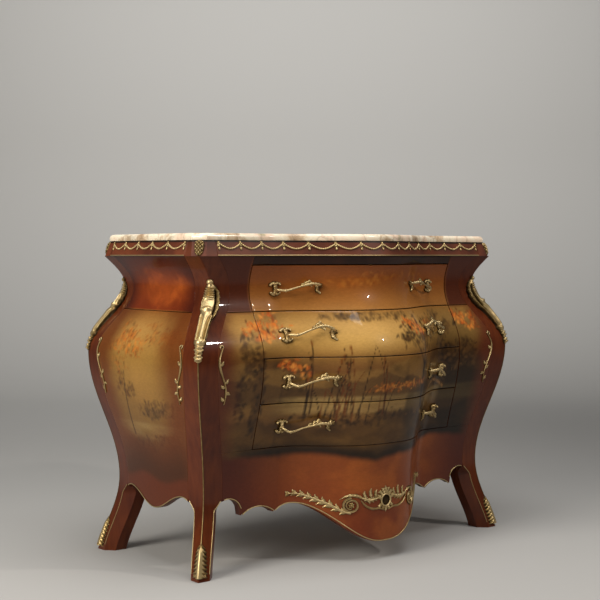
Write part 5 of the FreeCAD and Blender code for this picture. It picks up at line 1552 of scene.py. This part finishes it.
pull = {
    "centre": 217, "half": 56, "leaf": 30, "plate": 4, "stand": 25, "crook": 24, "bend": 6, "rod": 2.5, "steps": 90,
    "thickness": [1.5, 1.35, 1.1, 0.9, 1.15, 1.5, 1.35],
    # share along the bar and rise of the turned rings, and the stretch with knuckles
    "rings": [(0.24, 0.5), (0.66, 0.4)], "ringWidth": 0.015, "knuckles": (0.64, 0.72, 0.92, 0.98),
    "knuckleRise": 0.2, "knuckleCount": 22,
    # crossed leaves at the outer foot, two broad and two small: reach, rise, width and bend
    "leaves": [(0.5, 0.42, 15, 0.3), (0.46, -0.4, 15, -0.3), (-0.4, 0.46, 12, -0.35), (-0.36, -0.38, 12, 0.35)],
    # leaves on the crook: share along the bar, reach, rise and width
    "crest": [(0.56, 9, 7, 9), (0.64, 8, 10, 12), (0.71, 1, 12, 13), (0.77, -8, 9, 12), (0.68, 10, -7, 10)],
}


def pullParts(hand, z):
    sizes = pull
    size, foot, stand, bend = sizes["leaf"], sizes["plate"] * 0.5, sizes["stand"], sizes["bend"]
    outer, inner = hand * (sizes["centre"] + sizes["half"]), hand * (sizes["centre"] - sizes["half"])
    lowZ, highZ = z - size * 0.1, z + size * 0.2
    crook = hand * sizes["crook"]
    # places across and up, with the distance that the bar stands off the front
    path = [(outer, lowZ, foot), (outer - crook * 0.2, lowZ - bend * 0.5, stand * 0.6),
            (outer - crook, lowZ - bend, stand), ((outer + inner) / 2, (lowZ + highZ) / 2, stand),
            (inner + crook, highZ + bend * 0.8, stand), (inner + crook * 0.2, highZ + bend * 0.3, stand * 0.6),
            (inner, highZ, foot)]
    line = smoothPath(path, sizes["steps"])
    spot = frontReliefSpot
    level, out = spot(line[:, 0], line[:, 1])[:2]
    t = np.linspace(0, 1, sizes["steps"])
    radii = sizes["rod"] * np.interp(t, np.linspace(0, 1, len(sizes["thickness"])), sizes["thickness"])
    # turned rings where the bar meets its leaves, and knuckles along the crook
    swell = 1
    for along, rise in sizes["rings"]:
        swell = swell + rise * np.exp(-((t - along) / sizes["ringWidth"]) ** 2)
    knuckles = band(t, *sizes["knuckles"]) * np.cos(2 * np.pi * sizes["knuckleCount"] * t)
    radii = radii * swell * (1 + sizes["knuckleRise"] * knuckles)
    parts = [rod(level + out * line[:, 2:3], radii, 14)]
    for away, rise, width, turn in sizes["leaves"]:
        start = (outer - hand * size * 0.1 * np.sign(away), lowZ)
        tip = (outer + hand * size * away, lowZ + size * rise)
        parts.append(leaf(spot, start, tip, turn * hand, width, 9, 3, 2, 0.55))
        bead = (tip[0], tip[1] - 1.5 * np.sign(rise))
        parts.append(medallion(spot, bead, (width * 0.3, width * 0.3), 8, 0, 7, 18))
    parts.append(medallion(spot, (outer, lowZ), (8, 8), 11, 6, 8, 30, 0.2, 0.3))
    # a leafy crest on the crook, standing off with the bar
    for along, away, up, width in sizes["crest"]:
        base = line[int(along * (sizes["steps"] - 1))]
        tip = (base[0] - hand * away, base[1] + up)
        parts.append(leaf(spot, base[:2], tip, 0.2, width, 5, 2, base[2] - 3, 0.5))
    # the hooked leaf under the inner foot
    start, tip = (inner + crook * 0.1, highZ + size * 0.22), (inner + crook * 0.05, highZ - size * 0.72)
    parts.append(leaf(spot, start, tip, 0.2 * hand, 15, 9, 3, 2, 0.4))
    parts.append(medallion(spot, (inner, highZ), (8, 8), 10, 5, 8, 30, 0.6, 0.3))
    return parts


for number, (low, high) in enumerate(drawerLevels, 1):
    parts = [part for hand in (-1, 1) for part in pullParts(hand, (low + high) / 2)]
    giltPiece("gilt_pulls_%d" % number, "drawer_%d" % number, ["drawer_%d_pulls" % number], parts)
print("pulls made")


# carried over nodes that show as they are

carried = {
    plainWood: ["back_panel", "bottom_board", "top_board", "dust_shelves", "drawer_guides"],
    rubbedLacquer: ["cornice_blocks", "cornice_back"],
    boltSteel: [],
}
for number in range(1, 5):
    carried[plainWood] += ["drawer_%d_%s" % (number, part) for part in ("sides", "bottom", "back")]
    carried[boltSteel].append("drawer_%d_bolts" % number)
for material, names in carried.items():
    for name in names:
        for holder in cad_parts[name].material_slots:
            holder.material = material
print("carried nodes finished")


# room, light and camera

cameraSet = {"place": (-2.3185, -2.799, 0.809), "ahead": (0.627, 0.779), "pitch": -2.0, "lens": 77.4,
             "sensor": 36.0}
# the paper's tone is painted shade: darker on the floor than up the wall, with a painted shade before the bend that
# deepens to the right
room = {"front": -4.5, "bend": 1.6, "back": 5.0, "high": 4.6, "halfWidth": 7.0, "bendSteps": 24, "floorSteps": 40,
        "acrossSteps": 24, "colour": "#bcbab6", "fadeWidth": 1.3, "floorTone": 0.8, "wallTone": 0.95,
        "shadeLeft": 0.22, "shadeRight": 0.45, "shadePlace": 2.5, "shadeWidth": 1.9}


def makeRoomPaint():
    # matt studio paper: pale grey, multiplied by the painted shade of its tone layer, darkest where it turns up
    # behind the chest
    material, tree, shader = newMaterial("matt studio paper", {"Roughness": 0.9})[:3]
    tone = addNode(tree, "ShaderNodeVertexColor", layer_name="tone")
    colour = addNode(tree, "ShaderNodeMix", {"Factor": 1.0, 6: srgb(room["colour"]), 7: tone.outputs[0]},
                     data_type="RGBA", blend_type="MULTIPLY")
    tree.links.new(colour.outputs[2], shader.inputs["Base Color"])
    return material


def partWay(start, end, share):
    return start + (end - start) * share


def makeRoom():
    view = np.array([*Vector(cameraSet["ahead"]).normalized(), 0])
    across = np.array([view[1], -view[0], 0])
    bend, back, fade = room["bend"], room["back"], room["fadeWidth"]
    bendStart = back - bend
    # distance from the middle, height, and the way along the paper
    line = [(away, 0.0, away) for away in np.linspace(room["front"], bendStart, room["floorSteps"])]
    for turn in np.linspace(0, pi / 2, room["bendSteps"])[1:]:
        line.append((bendStart + bend * sin(turn), bend * (1 - cos(turn)), bendStart + bend * turn))
    line.append((back, room["high"], line[-1][2] + room["high"] - bend))
    away, high, run = (np.array(column)[:, None] for column in zip(*line))
    aside = np.linspace(-room["halfWidth"], room["halfWidth"], 2 * room["acrossSteps"] + 1)[None, :]
    points = away[..., None] * view + aside[..., None] * across + high[..., None] * np.array([0, 0, 1])
    shadeDepth = partWay(room["shadeLeft"], room["shadeRight"], soft(-fade, fade, aside))
    # painted shade: the tone falls on the floor and before the bend, more on the right
    tone = partWay(room["floorTone"], room["wallTone"], soft(bendStart, back + bend / 2, run))
    tone = tone - shadeDepth * np.exp(-((run - room["shadePlace"]) / room["shadeWidth"]) ** 2)
    mesh = bpy.data.meshes.new("studio_sweep")
    mesh.from_pydata(points.reshape(-1, 3).tolist(), [], gridFaces(*tone.shape, 0, True).tolist())
    layer = mesh.color_attributes.new("tone", "FLOAT_COLOR", "POINT")
    colours = np.stack([tone, tone, tone, np.ones_like(tone)], -1)
    layer.data.foreach_set("color", colours.astype(np.float32).ravel())
    mesh.materials.append(makeRoomPaint())
    mesh.shade_smooth()
    sweep = bpy.data.objects.new("studio_sweep", mesh)
    bpy.context.collection.objects.link(sweep)


makeRoom()

# place, aim, size, watts, colour and shape
lamps = {
    "round_lamp": ((1.36, -2.58, 2.56), (0, -0.2, 0.62), (0.15, 0.15), 30, "#fff6ee", "DISK"),
    "left_wash": ((-3.6, -0.5, 2.2), (0, 0.1, 0.5), (1.6, 1.6), 125, "#fffaf2", "RECTANGLE"),
    "backdrop_wash": ((1.5, 1.9, 3.2), (3.6, 4.5, 1.0), (5.0, 1.0), 78, "#ffffff", "RECTANGLE"),
    "overhead": ((-0.3, -0.7, 3.9), (-0.1, 0.0, 0.0), (2.4, 2.4), 108, "#ffffff", "RECTANGLE"),
}
for name, (place, aim, size, power, colour, shape) in lamps.items():
    data = bpy.data.lights.new(name, "AREA")
    data.shape = shape
    data.size, data.size_y = size
    data.energy = power
    data.color = srgb(colour)[:3]
    lamp = bpy.data.objects.new(name, data)
    lamp.location = place
    lamp.rotation_euler = (Vector(aim) - Vector(place)).to_track_quat("-Z", "Y").to_euler()
    bpy.context.collection.objects.link(lamp)

air = {"colour": "#dcdcda", "strength": 0.12}
world = bpy.data.worlds.new("studio air")
world.use_nodes = True
background = world.node_tree.nodes["Background"].inputs
background["Color"].default_value = srgb(air["colour"])
background["Strength"].default_value = air["strength"]
bpy.context.scene.world = world
bpy.context.scene.view_settings.view_transform = "Standard"

cameraData = bpy.data.cameras.new("photo camera")
cameraData.lens, cameraData.sensor_width = cameraSet["lens"], cameraSet["sensor"]
camera = bpy.data.objects.new("photo camera", cameraData)
camera.location = cameraSet["place"]
slope = radians(cameraSet["pitch"])
level = Vector((*cameraSet["ahead"], 0)).normalized()
ahead = level * cos(slope) + Vector((0, 0, sin(slope)))
camera.rotation_euler = ahead.to_track_quat("-Z", "Y").to_euler()
bpy.context.collection.objects.link(camera)
bpy.context.scene.camera = camera
print("room, light and camera set")
